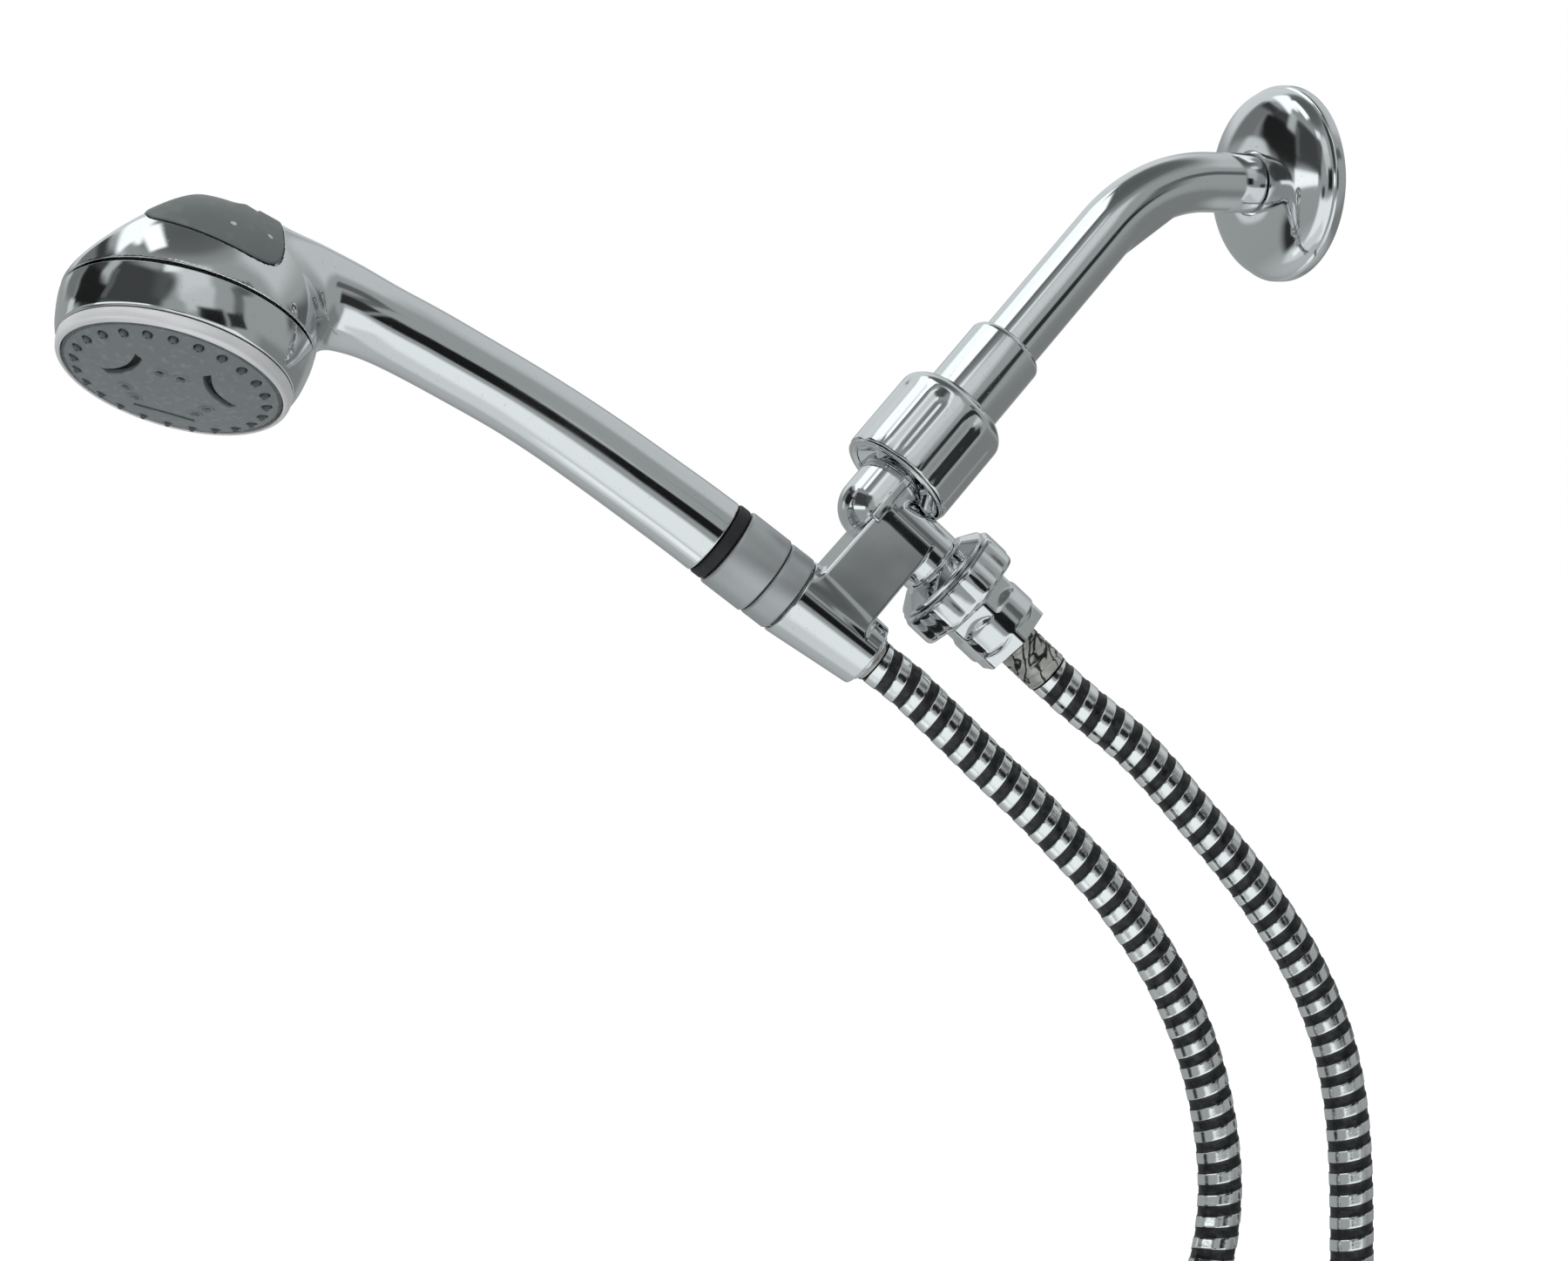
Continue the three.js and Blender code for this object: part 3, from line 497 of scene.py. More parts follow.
# The material slots of the record, and the looks that only some pieces of a slot have.
FINISHES = {
    "chrome": finish("polished_plate", polished, Metallic=1.0),
    "satin": finish("satin_silver", satin, Metallic=0.75),
    "lip": finish("lip_silver_painted_bright", lip_silver_painted_bright, Metallic=0.4),
    "crimp": finish("crimped_sleeve", crimped, Metallic=0.6),
    "slate": finish("slate_plastic", slate_plastic),
    "face": finish("spray_plate", face_plastic),
    "rubber": finish("black_rubber", soft_rubber),
    "nipples": finish("nozzle_rubber", nipple_rubber),
    "hose_cover": finish("hose_winding", hose_black),
    "hose_bright": finish("hose_strip", hose_bright, Metallic=1.0),
    "brass": finish("cut_brass", plain_metal((0.5, 0.36, 0.14), (0.66, 0.5, 0.24), 0.2), Metallic=1.0),
    "steel": finish("bright_steel", plain_metal((0.5, 0.51, 0.52), (0.65, 0.66, 0.67), 0.18), Metallic=1.0),
    "white_plastic": finish("white_moulding", moulding((0.68, 0.68, 0.65), (0.76, 0.76, 0.73))),
    "grey_plastic": finish("grey_moulding", moulding((0.24, 0.26, 0.26), (0.3, 0.32, 0.32))),
}


# ---- Meshes ----


def settle(mesh, body, node, slot, looks=None, sharp=32):
    """A finished mesh becomes a piece of its name, which rides on a body and stands for a CAD node.

    Edges sharper than an angle in degrees stay sharp. With 0 the mesh keeps its own normals.
    """
    mesh.validate()
    mesh.shade_smooth()
    if sharp:
        mesh.set_sharp_from_angle(angle=math.radians(sharp))
    for look in looks or [slot]:
        mesh.materials.append(FINISHES[look])
    piece = bpy.data.objects.new(mesh.name, mesh)
    bpy.context.scene.collection.objects.link(piece)
    if body:
        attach(piece, body)
    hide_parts(node)
    return piece


def mesh_of(name, points, faces, place):
    """A mesh from points in millimetres in a place's frame."""
    mesh = bpy.data.meshes.new(name)
    mesh.from_pydata((place.out(points) * MM).tolist(), [], faces)
    return mesh


EASE_POINTS = 6
# The most of a side that an eased corner takes up.
EASE_SHARE = 0.49


def eased(corners):
    """A closed outline of (radius, height) or (radius, height, ease), with the eased corners rounded."""
    outline = []
    count = len(corners)
    for i, corner in enumerate(corners):
        here = np.array(corner[:2], float)
        ease = corner[2] if len(corner) > 2 else 0
        if not ease:
            outline.append(here)
            continue
        before = np.array(corners[i - 1][:2], float) - here
        after = np.array(corners[(i + 1) % count][:2], float) - here
        reach = min(ease, EASE_SHARE * np.linalg.norm(before), EASE_SHARE * np.linalg.norm(after))
        start = here + unit(before) * reach
        end = here + unit(after) * reach
        for t in np.linspace(0, 1, EASE_POINTS):
            outline.append(start * (1 - t) ** 2 + here * 2 * t * (1 - t) + end * t**2)
    return np.array(outline)


def arc(centre_r, centre_z, radius_r, radius_z, start, end, steps):
    """Corners on an arc of an outline, from one angle to another in degrees."""
    angles = np.radians(np.linspace(start, end, steps + 1))
    return [(centre_r + radius_r * math.cos(a), centre_z + radius_z * math.sin(a)) for a in angles]


# A radius under this, in millimetres, is on the axis.
ON_AXIS = 1e-6


def turned(name, place, corners, along="z", segments=128, shape=None):
    """An outline turned about a place's Z or X.

    shape(angle, radius, height) may change the radius. Faces on the axis are left out.
    """
    outline = eased(corners)
    r, h = outline[:, 0], outline[:, 1]
    if np.sum(r * np.roll(h, -1) - np.roll(r, -1) * h) < 0:
        r, h = r[::-1], h[::-1]
    angles = np.arange(segments) * TURN / segments
    angle, radius = np.meshgrid(angles, r, indexing="ij")
    height = np.broadcast_to(h, radius.shape)
    if shape:
        radius = shape(angle, radius, height)
    across, side = radius * np.cos(angle), radius * np.sin(angle)
    order = (across, side, height) if along == "z" else (height, across, side)
    points = np.stack(order, -1).reshape(-1, 3)
    rows = len(r)
    i, j = np.meshgrid(np.arange(segments), np.arange(rows), indexing="ij")
    a = i * rows + j
    b = ((i + 1) % segments) * rows + j
    c = ((i + 1) % segments) * rows + (j + 1) % rows
    d = i * rows + (j + 1) % rows
    faces = np.stack([a, b, c, d], -1).reshape(-1, 4)
    on_axis = (r[faces[:, 0] % rows] < ON_AXIS) & (r[faces[:, 3] % rows] < ON_AXIS)
    mesh = mesh_of(name, points, faces[~on_axis].tolist(), place)
    return welded(mesh)


def welded(mesh, closed=False):
    """Doubled points merged, open ends closed where asked for, and faces turned outward."""
    work = bmesh.new()
    work.from_mesh(mesh)
    bmesh.ops.remove_doubles(work, verts=work.verts, dist=WELD)
    if closed:
        bmesh.ops.dissolve_degenerate(work, edges=work.edges, dist=WELD / 2)
        rims = [edge for edge in work.edges if edge.is_boundary]
        bmesh.ops.holes_fill(work, edges=rims, sides=0)
    bmesh.ops.recalc_face_normals(work, faces=work.faces)
    work.to_mesh(mesh)
    work.free()
    return mesh


# ---- Rounded solids from fields of distances ----


def merge(a, b, ease):
    """The union of two fields, with a fillet."""
    share = np.clip(0.5 + 0.5 * (b - a) / ease, 0, 1)
    return b + (a - b) * share - ease * share * (1 - share)


def common(a, b, ease):
    """What two fields share, with a rounded edge."""
    return -merge(-a, -b, ease)


def without(a, b, ease):
    """The first field less the second, with a rounded edge."""
    return common(a, -b, ease)


def skin(name, field, low, high, cell, place):
    """A closed mesh where a field is zero: one point in each grid cell that the surface crosses."""
    cell = cell * ROUGHING
    counts = [int(math.ceil((b - a) / cell)) + 1 for a, b in zip(low, high)]
    lines = [np.linspace(a, a + (n - 1) * cell, n) for a, n in zip(low, counts)]
    x, y, z = np.meshgrid(*lines, indexing="ij")
    values = field(x, y, z).astype(np.float32)
    del x, y, z
    sums = np.zeros([n - 1 for n in counts] + [3], np.float32)
    hits = np.zeros([n - 1 for n in counts], np.float32)
    crossed = []
    for axis in range(3):
        here = np.take(values, range(counts[axis] - 1), axis)
        there = np.take(values, range(1, counts[axis]), axis)
        crossing = (here < 0) != (there < 0)
        crossed.append((crossing, here < 0))
        i, j, k = np.nonzero(crossing)
        share = here[i, j, k] / (here[i, j, k] - there[i, j, k])
        point = np.stack([i, j, k], -1).astype(np.float32)
        point[:, axis] += share
        others = [a for a in range(3) if a != axis]
        for step_a in (0, 1):
            for step_b in (0, 1):
                cells = np.stack([i, j, k], -1)
                cells[:, others[0]] -= step_a
                cells[:, others[1]] -= step_b
                inside = np.all((cells >= 0) & (cells < np.array(counts) - 1), 1)
                key = tuple(cells[inside].T)
                np.add.at(sums, key, point[inside])
                np.add.at(hits, key, 1)
    active = hits > 0
    number = np.full(active.shape, -1, np.int64)
    number[active] = np.arange(active.sum())
    points = np.array(low, float) + cell * (sums[active] / hits[active][:, None])
    faces = []
    for axis in range(3):
        crossing, inner = crossed[axis]
        i, j, k = np.nonzero(crossing)
        others = [(axis + 1) % 3, (axis + 2) % 3]
        corners = []
        for step_a, step_b in ((1, 1), (0, 1), (0, 0), (1, 0)):
            cells = np.stack([i, j, k], -1)
            cells[:, others[0]] -= step_a
            cells[:, others[1]] -= step_b
            corners.append(number[tuple(cells.T)])
        quad = np.stack(corners, -1)
        flip = ~inner[i, j, k]
        quad[flip] = quad[flip][:, ::-1]
        faces.append(quad)
    faces = np.concatenate(faces)
    if (faces < 0).any():
        raise ValueError(f"{name} reaches past its grid")
    points, normals = drawn_onto(field, points, ONTO_REACH * cell)
    mesh = mesh_of(name, points, faces.tolist(), place)
    mesh.shade_smooth()
    mesh.normals_split_custom_set_from_vertices((normals @ place.axes.T).tolist())
    return mesh


# How far apart, in millimetres, a field is read for its slope, and how often points move onto it.
SLOPE_STEP = 0.05
ONTO_STEPS = 4
# The part of a grid cell that a point may move at a time.
ONTO_REACH = 0.4
# The least square of a slope, and the least length, that something is divided by.
LEAST_SQUARE = 1e-6
LEAST_LENGTH = 1e-9


def drawn_onto(field, points, reach):
    """Points moved onto the surface, by no more than a reach at a time, and the normals there."""
    for _ in range(ONTO_STEPS):
        value, slope = field_slope(field, points)
        square = np.maximum(np.sum(slope**2, 1), LEAST_SQUARE)
        step = slope * (value / square)[:, None]
        size = np.linalg.norm(step, axis=1)
        step *= np.minimum(1, reach / np.maximum(size, LEAST_LENGTH))[:, None]
        points = points - step
    slope = field_slope(field, points)[1]
    return points, slope / np.maximum(np.linalg.norm(slope, axis=1), LEAST_LENGTH)[:, None]


def field_slope(field, points):
    """A field's value and its slope at points."""
    x, y, z = points.T
    step = SLOPE_STEP
    value = field(x, y, z)
    slope = np.stack(
        [
            field(x + step, y, z) - field(x - step, y, z),
            field(x, y + step, z) - field(x, y - step, z),
            field(x, y, z + step) - field(x, y, z - step),
        ],
        -1,
    )
    return value, slope / (2 * step)


def place_field(field, inner, outer):
    """A field drawn in the inner place, read at points of the outer place."""
    turn = outer.axes.T @ inner.axes
    shift = outer.into(inner.origin)

    def read(x, y, z):
        x, y, z = x - shift[0], y - shift[1], z - shift[2]
        return field(*(turn[0, i] * x + turn[1, i] * y + turn[2, i] * z for i in range(3)))

    return read


class Curve:
    """A smooth line through stations, with its ends left straight."""

    def __init__(self, at, values):
        self.at = np.asarray(at, float)
        self.values = np.asarray(values, float)
        flat = self.values.reshape(len(self.at), -1)
        gaps = np.diff(self.at)
        count = len(self.at)
        matrix = np.eye(count)
        right = np.zeros((count, flat.shape[1]))
        for i in range(1, count - 1):
            matrix[i, i - 1 : i + 2] = gaps[i - 1], 2 * (gaps[i - 1] + gaps[i]), gaps[i]
            climb = (flat[i + 1] - flat[i]) / gaps[i] - (flat[i] - flat[i - 1]) / gaps[i - 1]
            right[i] = 6 * climb
        self.bends = np.linalg.solve(matrix, right).reshape(self.values.shape)

    def __call__(self, t):
        t = np.asarray(t, float)
        held = np.clip(t, self.at[0], self.at[-1])
        i = np.clip(np.searchsorted(self.at, held) - 1, 0, len(self.at) - 2)
        gap = self.at[i + 1] - self.at[i]
        a, b = (self.at[i + 1] - held) / gap, (held - self.at[i]) / gap
        if self.values.ndim > 1:
            gap, a, b = gap[..., None], a[..., None], b[..., None]
        bend = ((a**3 - a) * self.bends[i] + (b**3 - b) * self.bends[i + 1]) * gap**2 / 6
        return a * self.values[i] + b * self.values[i + 1] + bend


# ---- Hose ----

# The same route as the CAD hose: out of the bracket, down in a loop and up to the cradle.
HOSE_ROUTE = [
    (21.5, -115.04, -169.52),
    (23.16, -110.6, -173.96),
    (26.9, -100.9, -182.8),
    (31.4, -88.9, -193.2),
    (35.7, -77.3, -205.8),
    (40, -65.7, -220),
    (44.6, -53.3, -235.6),
    (48.6, -42.6, -250.8),
    (52.4, -32.6, -267),
    (55.5, -24.4, -284),
    (58, -18, -303),
    (59.6, -13.8, -325),
    (60.4, -11.8, -352),
    (60.7, -11.2, -400),
    (60.6, -11.2, -470),
    (60.2, -11.2, -540),
    (59.8, -11.3, -585),
    (59.4, -12, -628),
    (58.7, -21.4, -667),
    (57.9, -47, -695.5),
    (56.9, -82, -706),
    (55.9, -117, -695.5),
    (55, -142.6, -667),
    (54.3, -152, -628),
    (53.7, -150, -590),
    (53, -141, -546),
    (52.2, -124.5, -500),
    (51.2, -102.5, -453),
    (50.3, -81, -410),
    (49.7, -64.5, -376),
    (48.9, -60.2, -350),
    (47.8, -62.4, -325),
    (46.1, -67.2, -304),
    (43.9, -73.8, -286),
    (41.2, -81.6, -270),
    (38, -90.9, -255),
    (34.4, -101.6, -240.3),
    (30.4, -113.4, -226.8),
    (26.4, -125, -214),
    (22.4, -136.9, -202),
    (18.4, -148.7, -189.8),
    (14.6, -159.7, -178.4),
    (12.18, -166.7, -171.39),
    (10.52, -171.55, -167.39),
    (8.87, -176.4, -163.4),
]

ROWS_PER_TURN = 12
BRIGHT_ROWS = 6
HOSE_SIDES = 40
HOSE_STEP = 0.5
FINE_POINTS = 6000
# How far the bright strip lies inside the CAD hose, and the dark winding inside the strip.
STRIP_INSET = 0.02
WINDING_INSET = 0.3


def hose_line():
    """Evenly spaced points along the route, with a frame at each that doesn't twist."""
    route = np.array(HOSE_ROUTE, float)
    chords = np.concatenate([[0], np.cumsum(np.linalg.norm(np.diff(route, axis=0), axis=1))])
    curve = Curve(chords, route)
    fine = curve(np.linspace(0, chords[-1], FINE_POINTS))
    run = np.concatenate([[0], np.cumsum(np.linalg.norm(np.diff(fine, axis=0), axis=1))])
    length = run[-1]
    even = np.linspace(0, length, int(length / HOSE_STEP))
    line = np.stack([np.interp(even, run, fine[:, i]) for i in range(3)], -1)
    heading = np.gradient(line, axis=0)
    heading /= np.linalg.norm(heading, axis=1)[:, None]
    side = np.cross(heading[0], (1, 0, 0))
    sides = []
    for direction in heading:
        side = unit(side - direction * (side @ direction))
        sides.append(side)
    sides = np.array(sides)
    return even, line, sides, np.cross(heading, sides)


def hose():
    """The tube's rows follow the winding, so that the bright strip has true edges on every turn."""
    even, line, side, lift = hose_line()
    length = even[-1]
    step = HOSE_PITCH / ROWS_PER_TURN
    rows = int(math.ceil(length / step)) + ROWS_PER_TURN
    row, column = np.meshgrid(np.arange(rows), np.arange(HOSE_SIDES), indexing="ij")
    station = (row - ROWS_PER_TURN + ROWS_PER_TURN * column / HOSE_SIDES) * step
    station = np.clip(station, 0, length)
    on_strip = row % ROWS_PER_TURN <= BRIGHT_ROWS
    radius = HOSE_RADIUS - STRIP_INSET - np.where(on_strip, 0.0, WINDING_INSET)
    angle = column * TURN / HOSE_SIDES

    def read(values):
        return np.stack([np.interp(station, even, values[:, i]) for i in range(3)], -1)

    sideways = read(side) * (radius * np.cos(angle))[..., None]
    upward = read(lift) * (radius * np.sin(angle))[..., None]
    points = read(line) + sideways + upward
    faces, looks = [], []
    for i in range(rows - 1):
        for k in range(HOSE_SIDES):
            after = (k + 1) % HOSE_SIDES
            shift = 0 if after else ROWS_PER_TURN
            if i + 1 + shift >= rows:
                continue
            a, b = i * HOSE_SIDES + k, (i + 1) * HOSE_SIDES + k
            c, d = (i + 1 + shift) * HOSE_SIDES + after, (i + shift) * HOSE_SIDES + after
            faces.append((a, b, c, d))
            looks.append(0 if i % ROWS_PER_TURN < BRIGHT_ROWS else 1)
    mesh = mesh_of("hose_cover", points.reshape(-1, 3), faces, ROW)
    mesh.polygons.foreach_set("material_index", looks)
    mesh = welded(mesh, closed=True)
    piece = settle(mesh, None, "hose", "hose_cover", ["hose_bright", "hose_cover"], sharp=28)
    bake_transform(piece)
    round(length * MM, 3)


hose()


# ---- Wall flange and arm ----


def arm_line(distance):
    """A point of the arm's middle at a distance from the buried end, and how far it leans down there."""
    first = ARM_STUB + ARM_STRAIGHT
    bend = ARM_BEND_RADIUS * ARM_DROP
    if distance < first:
        return np.array([0, ARM_STUB - distance, 0]), 0.0
    if distance < first + bend:
        angle = (distance - first) / ARM_BEND_RADIUS
        y = -ARM_STRAIGHT - ARM_BEND_RADIUS * math.sin(angle)
        return np.array([0, y, -ARM_BEND_RADIUS * (1 - math.cos(angle))]), angle
    along = distance - first - bend
    y = -ARM_STRAIGHT - ARM_BEND_RADIUS * math.sin(ARM_DROP) - along * math.cos(ARM_DROP)
    z = -ARM_BEND_RADIUS * (1 - math.cos(ARM_DROP)) - along * math.sin(ARM_DROP)
    return np.array([0, y, z]), ARM_DROP


def arm_radius(distance, angle):
    """The pipe's outside, with a tapered thread on the buried end."""
    in_thread = (distance > THREAD_START) & (distance < THREAD_END)
    wave = np.abs(((distance / THREAD_PITCH + angle / TURN) % 1) - 0.5) * 2
    taper = THREAD_TAPER * np.clip(1 - distance / THREAD_END, 0, 1)
    return PIPE_RADIUS - taper - np.where(in_thread, THREAD_DEPTH * wave, 0)


def arm_ring(distance, angle, radius):
    """Points round the arm's middle, at a distance from the buried end."""
    centre, drop = arm_line(distance)
    up = np.array([0, -math.sin(drop), math.cos(drop)])
    return centre + np.outer(radius * np.cos(angle), (1, 0, 0)) + np.outer(radius * np.sin(angle), up)


ARM_SIDES = 112


def shower_arm():
    """Rings along the outside, close together on the thread, and back along the bore."""
    total = ARM_STUB + ARM_STRAIGHT + ARM_BEND_RADIUS * ARM_DROP + ARM_TAIL
    threaded = THREAD_END + ARM_EDGE
    stations = np.concatenate([np.arange(0, threaded, 0.2), np.linspace(threaded, total, 120)])
    angle = np.arange(ARM_SIDES) * TURN / ARM_SIDES
    rings = []
    for distance in stations:
        ease = max(ARM_EDGE - min(distance, total - distance), 0)
        rings.append(arm_ring(distance, angle, arm_radius(distance, angle) - ease))
    for distance in (total, total - 30, total - 60, 60, 30, 0):
        rings.append(arm_ring(distance, angle, PIPE_BORE))
    count = len(rings)
    i, k = np.meshgrid(np.arange(count), np.arange(ARM_SIDES), indexing="ij")
    after, beside = (i + 1) % count * ARM_SIDES, (k + 1) % ARM_SIDES
    a, b = i * ARM_SIDES + k, after + k
    c, d = after + beside, i * ARM_SIDES + beside
    faces = np.stack([a, b, c, d], -1).reshape(-1, 4).tolist()
    mesh = welded(mesh_of("arm_tube", np.concatenate(rings), faces, ROW))
    settle(mesh, "wall_arm", "shower_arm", "chrome")


def wall_flange():
    """A thin bell with a flat hem at the wall."""
    dome_r = FLANGE_RADIUS - 0.5 - FLANGE_BORE
    dome_z = FLANGE_DEPTH - FLANGE_SKIRT
    corners = [
        (FLANGE_RADIUS - FLANGE_HEM, 0),
        (FLANGE_RADIUS, 0, 0.9),
        (FLANGE_RADIUS, FLANGE_SKIRT, 1.4),
        *arc(FLANGE_BORE, FLANGE_SKIRT, dome_r - 0.4, dome_z, 4, 86, 28),
        (FLANGE_BORE, FLANGE_DEPTH, 0.4),
        (FLANGE_BORE, FLANGE_DEPTH - SHEET - 1),
        *arc(FLANGE_BORE, FLANGE_SKIRT, dome_r - SHEET, dome_z - SHEET, 82, 0, 20),
        (FLANGE_RADIUS - SHEET - 0.5, SHEET),
        (FLANGE_RADIUS - FLANGE_HEM, SHEET, 0.3),
    ]
    mesh = turned("bell_flange", WALL, corners, segments=160)
    settle(mesh, "wall_arm", "wall_flange", "chrome")


def arm_collar():
    """The collar on the arm's end, with the wider shoulder that the nut turns on."""
    corners = [
        (PIPE_RADIUS + GAP, COLLAR_SEAT),
        (PIPE_RADIUS + GAP, 48.4, 0.2),
        (12.5, 48.9, 0.5),
        (COLLAR_RADIUS, 47.4, 1.2),
        (COLLAR_RADIUS, COLLAR_SHOULDER),
        (NUT_BORE - 0.5, COLLAR_SHOULDER),
        (NUT_BORE - 0.5, 8.6),
        (14.6, 8.6),
        (14.6, 16),
        (7.2, 16),
        (7.2, COLLAR_SEAT),
    ]
    mesh = turned("stepped_collar", BALL, corners)
    settle(mesh, "wall_arm", "arm_collar", "chrome")


shower_arm()
wall_flange()
arm_collar()


# ---- Ball joint ----

FLUTES = 8
FLUTE_NARROWING = 2.2
# The flutes start this far below the nut's top and take this length to reach their depth.
FLUTE_START = 3.5
FLUTE_FADE = 6


def ball_nut():
    """The clamp nut, fluted below its shoulder."""
    corners = [
        (NUT_MOUTH, NUT_TOP - 1),
        (14.5, NUT_TOP, 0.4),
        (17.0, NUT_TOP - 0.1, 1.5),
        (NUT_RADIUS, NUT_TOP - 3.2, 4.0),
        (NUT_RADIUS, NUT_BOTTOM, 0.9),
        (NUT_BORE + 0.1, NUT_BOTTOM),
        (NUT_BORE + 0.1, 17.9),
        (NUT_MOUTH, 17.9),
    ]

    def fluted(angle, radius, height):
        """Broad shallow flutes that run out before the shoulder."""
        wave = (0.5 - 0.5 * np.cos(FLUTES * (angle + TURN / FLUTES / 2))) ** FLUTE_NARROWING
        fade = np.clip((NUT_TOP - FLUTE_START - height) / FLUTE_FADE, 0, 1)
        outer = radius > NUT_BORE + 1.5
        return radius - np.where(outer, FLUTE_DEPTH * wave * fade * fade * (3 - 2 * fade), 0)

    mesh = turned("fluted_nut", BALL, refined(corners), segments=256, shape=fluted)
    settle(mesh, "clamp_nut", "ball_nut", "chrome")


def refined(corners, longest=1.5):
    """Corners with points added along the long straights, for a shape that changes along them."""
    full = []
    for i, corner in enumerate(corners):
        full.append(corner)
        here = np.array(corner[:2], float)
        there = np.array(corners[(i + 1) % len(corners)][:2], float)
        pieces = int(np.linalg.norm(there - here) / longest)
        if pieces > 6:
            for t in np.linspace(0, 1, pieces + 1)[3:-3]:
                full.append(tuple(here + (there - here) * t))
    return full


def ball_retainer():
    """The ring in the nut's mouth, which the ball sits in."""
    seat = BALL_RADIUS + 0.4
    corners = [
        *arc(0, 0, seat, seat, -32.4, -4.5, 6),
        (NUT_BORE - 0.3, -1.3),
        (NUT_BORE - 0.3, NUT_BOTTOM - GAP),
        (19.6, NUT_BOTTOM - GAP, 0.3),
        (19.9, NUT_BOTTOM - 0.8, 0.4),
        (19.3, NUT_BOTTOM - 1.3, 0.4),
        (17.7, NUT_BOTTOM - 1.3, 0.5),
    ]
    mesh = turned("mouth_ring", BALL, corners, segments=160)
    settle(mesh, "clamp_nut", "ball_retainer", "chrome")


def bracket_ball():
    """The bored ball, on a shank with a groove for its ring."""
    shank = SOCKET_RADIUS - 0.4
    top = math.degrees(math.acos(BALL_BORE / BALL_RADIUS))
    bottom = -math.degrees(math.acos(BALL_NECK / BALL_RADIUS))
    corners = [
        (BALL_BORE, -24),
        (shank, -24, 0.5),
        (shank, -19.6),
        (6.9, -19.6),
        (6.9, -17.8),
        (shank, -17.8),
        (shank, -14.2),
        (BALL_NECK, -14.2),
        *arc(0, 0, BALL_RADIUS, BALL_RADIUS, bottom, top, 36),
    ]
    mesh = turned("bright_ball", BALL, corners, segments=96)
    settle(mesh, "bracket", "bracket_ball", "chrome")


ball_nut()
ball_retainer()
bracket_ball()


# ---- Bracket ----

# The web between stem, outlet and cradle, seen from its side.
WEB_OUTLINE = [(0.6, 1), (-0.4, -38), (29.9, -38), (29.6, -33), (23.3, -4.8), (23.3, 1)]


def polygon(x, z, outline, ease):
    """The field of a convex outline in XZ, given anticlockwise."""
    sides = []
    for (x0, z0), (x1, z1) in zip(outline, outline[1:] + outline[:1]):
        away = unit((z1 - z0, x0 - x1))
        sides.append((x - x0) * away[0] + (z - z0) * away[1])
    whole = sides[0]
    for side in sides[1:]:
        whole = common(whole, side, ease)
    return whole


def cone_field(x, y, z, rim):
    """An endless cone about X, with a rim's radius at x = 0 and less along the cradle's length."""
    radius = rim + CRADLE_TAPER * np.clip(x, -CRADLE_LENGTH, 0) / CRADLE_LENGTH
    return np.sqrt(y**2 + z**2) - radius


def cradle_field(x, y, z):
    """The cradle without its bore, in the handset's frame."""
    return common(cone_field(x, y, z, CRADLE_RADIUS), np.maximum(x, -CRADLE_LENGTH - x), 0.8)


CRADLE_OPENING = 4
SLOT_FLOOR = -5


def cradle_room(x, y, z):
    """The cradle's bore, open past both ends, and the slot that the hose slips in through."""
    ends = np.maximum(x, -CRADLE_LENGTH - x) - CRADLE_OPENING
    bore = np.maximum(cone_field(x, y, z, CRADLE_RADIUS - CRADLE_WALL), ends)
    slot = np.maximum(np.abs(z) - CRADLE_SLOT / 2, y - SLOT_FLOOR)
    return np.minimum(bore, slot)


# The raised ridge down the stem.
RIDGE_MIDDLE = 0.9
RIDGE_HALF_WIDTH = 1.5
RIDGE_PROUD = 0.35
RIDGE_FOOT = -6


def bracket_solid(x, y, z):
    """Stem, outlet, web, ridge, cradle and spigot, with fillets where the casting has them."""
    cradle = place_field(cradle_field, HANDSET, BRACKET)(x, y, z)
    stem = np.sqrt(x**2 + y**2 + np.minimum(z, 0) ** 2) - STEM_RADIUS
    stem = common(stem, z - STEM_TOP, 1.2)
    across = np.sqrt(y**2 + z**2)
    outlet = np.maximum(across - STEM_RADIUS, np.maximum(-x, x - OUTLET_LENGTH))
    spigot = np.maximum(across - SPIGOT_RADIUS, np.maximum(-x, x - SPIGOT_REACH))
    web = polygon(x, z, WEB_OUTLINE, 0.6)
    web = common(web, np.abs(y) - STEM_RADIUS, 1.1)
    ridge_ends = np.maximum(z - STEM_TOP + 0.4, RIDGE_FOOT - z)
    ridge = np.maximum(np.abs(x - RIDGE_MIDDLE) - RIDGE_HALF_WIDTH, ridge_ends)
    ridge = common(ridge, np.maximum(-y - STEM_RADIUS - RIDGE_PROUD, y), 0.5)
    body = merge(stem, outlet, 1.2)
    body = merge(body, web, 0.8)
    body = merge(body, ridge, 0.4)
    body = merge(body, cradle, 2.0)
    return np.minimum(body, spigot)


# Where the socket and the waterways start and end, along the stem or the outlet.
SOCKET_FLOOR = 2.4
BORE_START = -0.2
BORE_END = 3
OUTLET_BORE_START = -2


def bracket_waterways(x, y, z):
    """The stem's socket, the bore below it and the outlet's bore."""
    from_stem = np.sqrt(x**2 + y**2)
    socket = np.maximum(from_stem - SOCKET_RADIUS, SOCKET_FLOOR - z)
    bore = np.maximum(from_stem - BALL_BORE, np.maximum(BORE_START - z, z - BORE_END))
    outlet_bore = np.maximum(np.sqrt(y**2 + z**2) - BALL_BORE, OUTLET_BORE_START - x)
    return np.minimum(np.minimum(socket, bore), outlet_bore)


def bracket_field(x, y, z):
    room = place_field(cradle_room, HANDSET, BRACKET)(x, y, z)
    body = without(bracket_solid(x, y, z), room, 0.6)
    return without(body, bracket_waterways(x, y, z), 0.3)


def bracket_body():
    low, high = (-14, -17, -59), (43, 15, 15)
    mesh = skin("cast_bracket", bracket_field, low, high, 0.36, BRACKET)
    settle(mesh, "bracket", "bracket_body", "chrome", sharp=0)


LOBES = 8
# Where the grip starts along the outlet, the radius that its lobes rise from, and over how much.
GRIP_START = 34.3
GRIP_NECK = 17.6
GRIP_RISE = 2.4
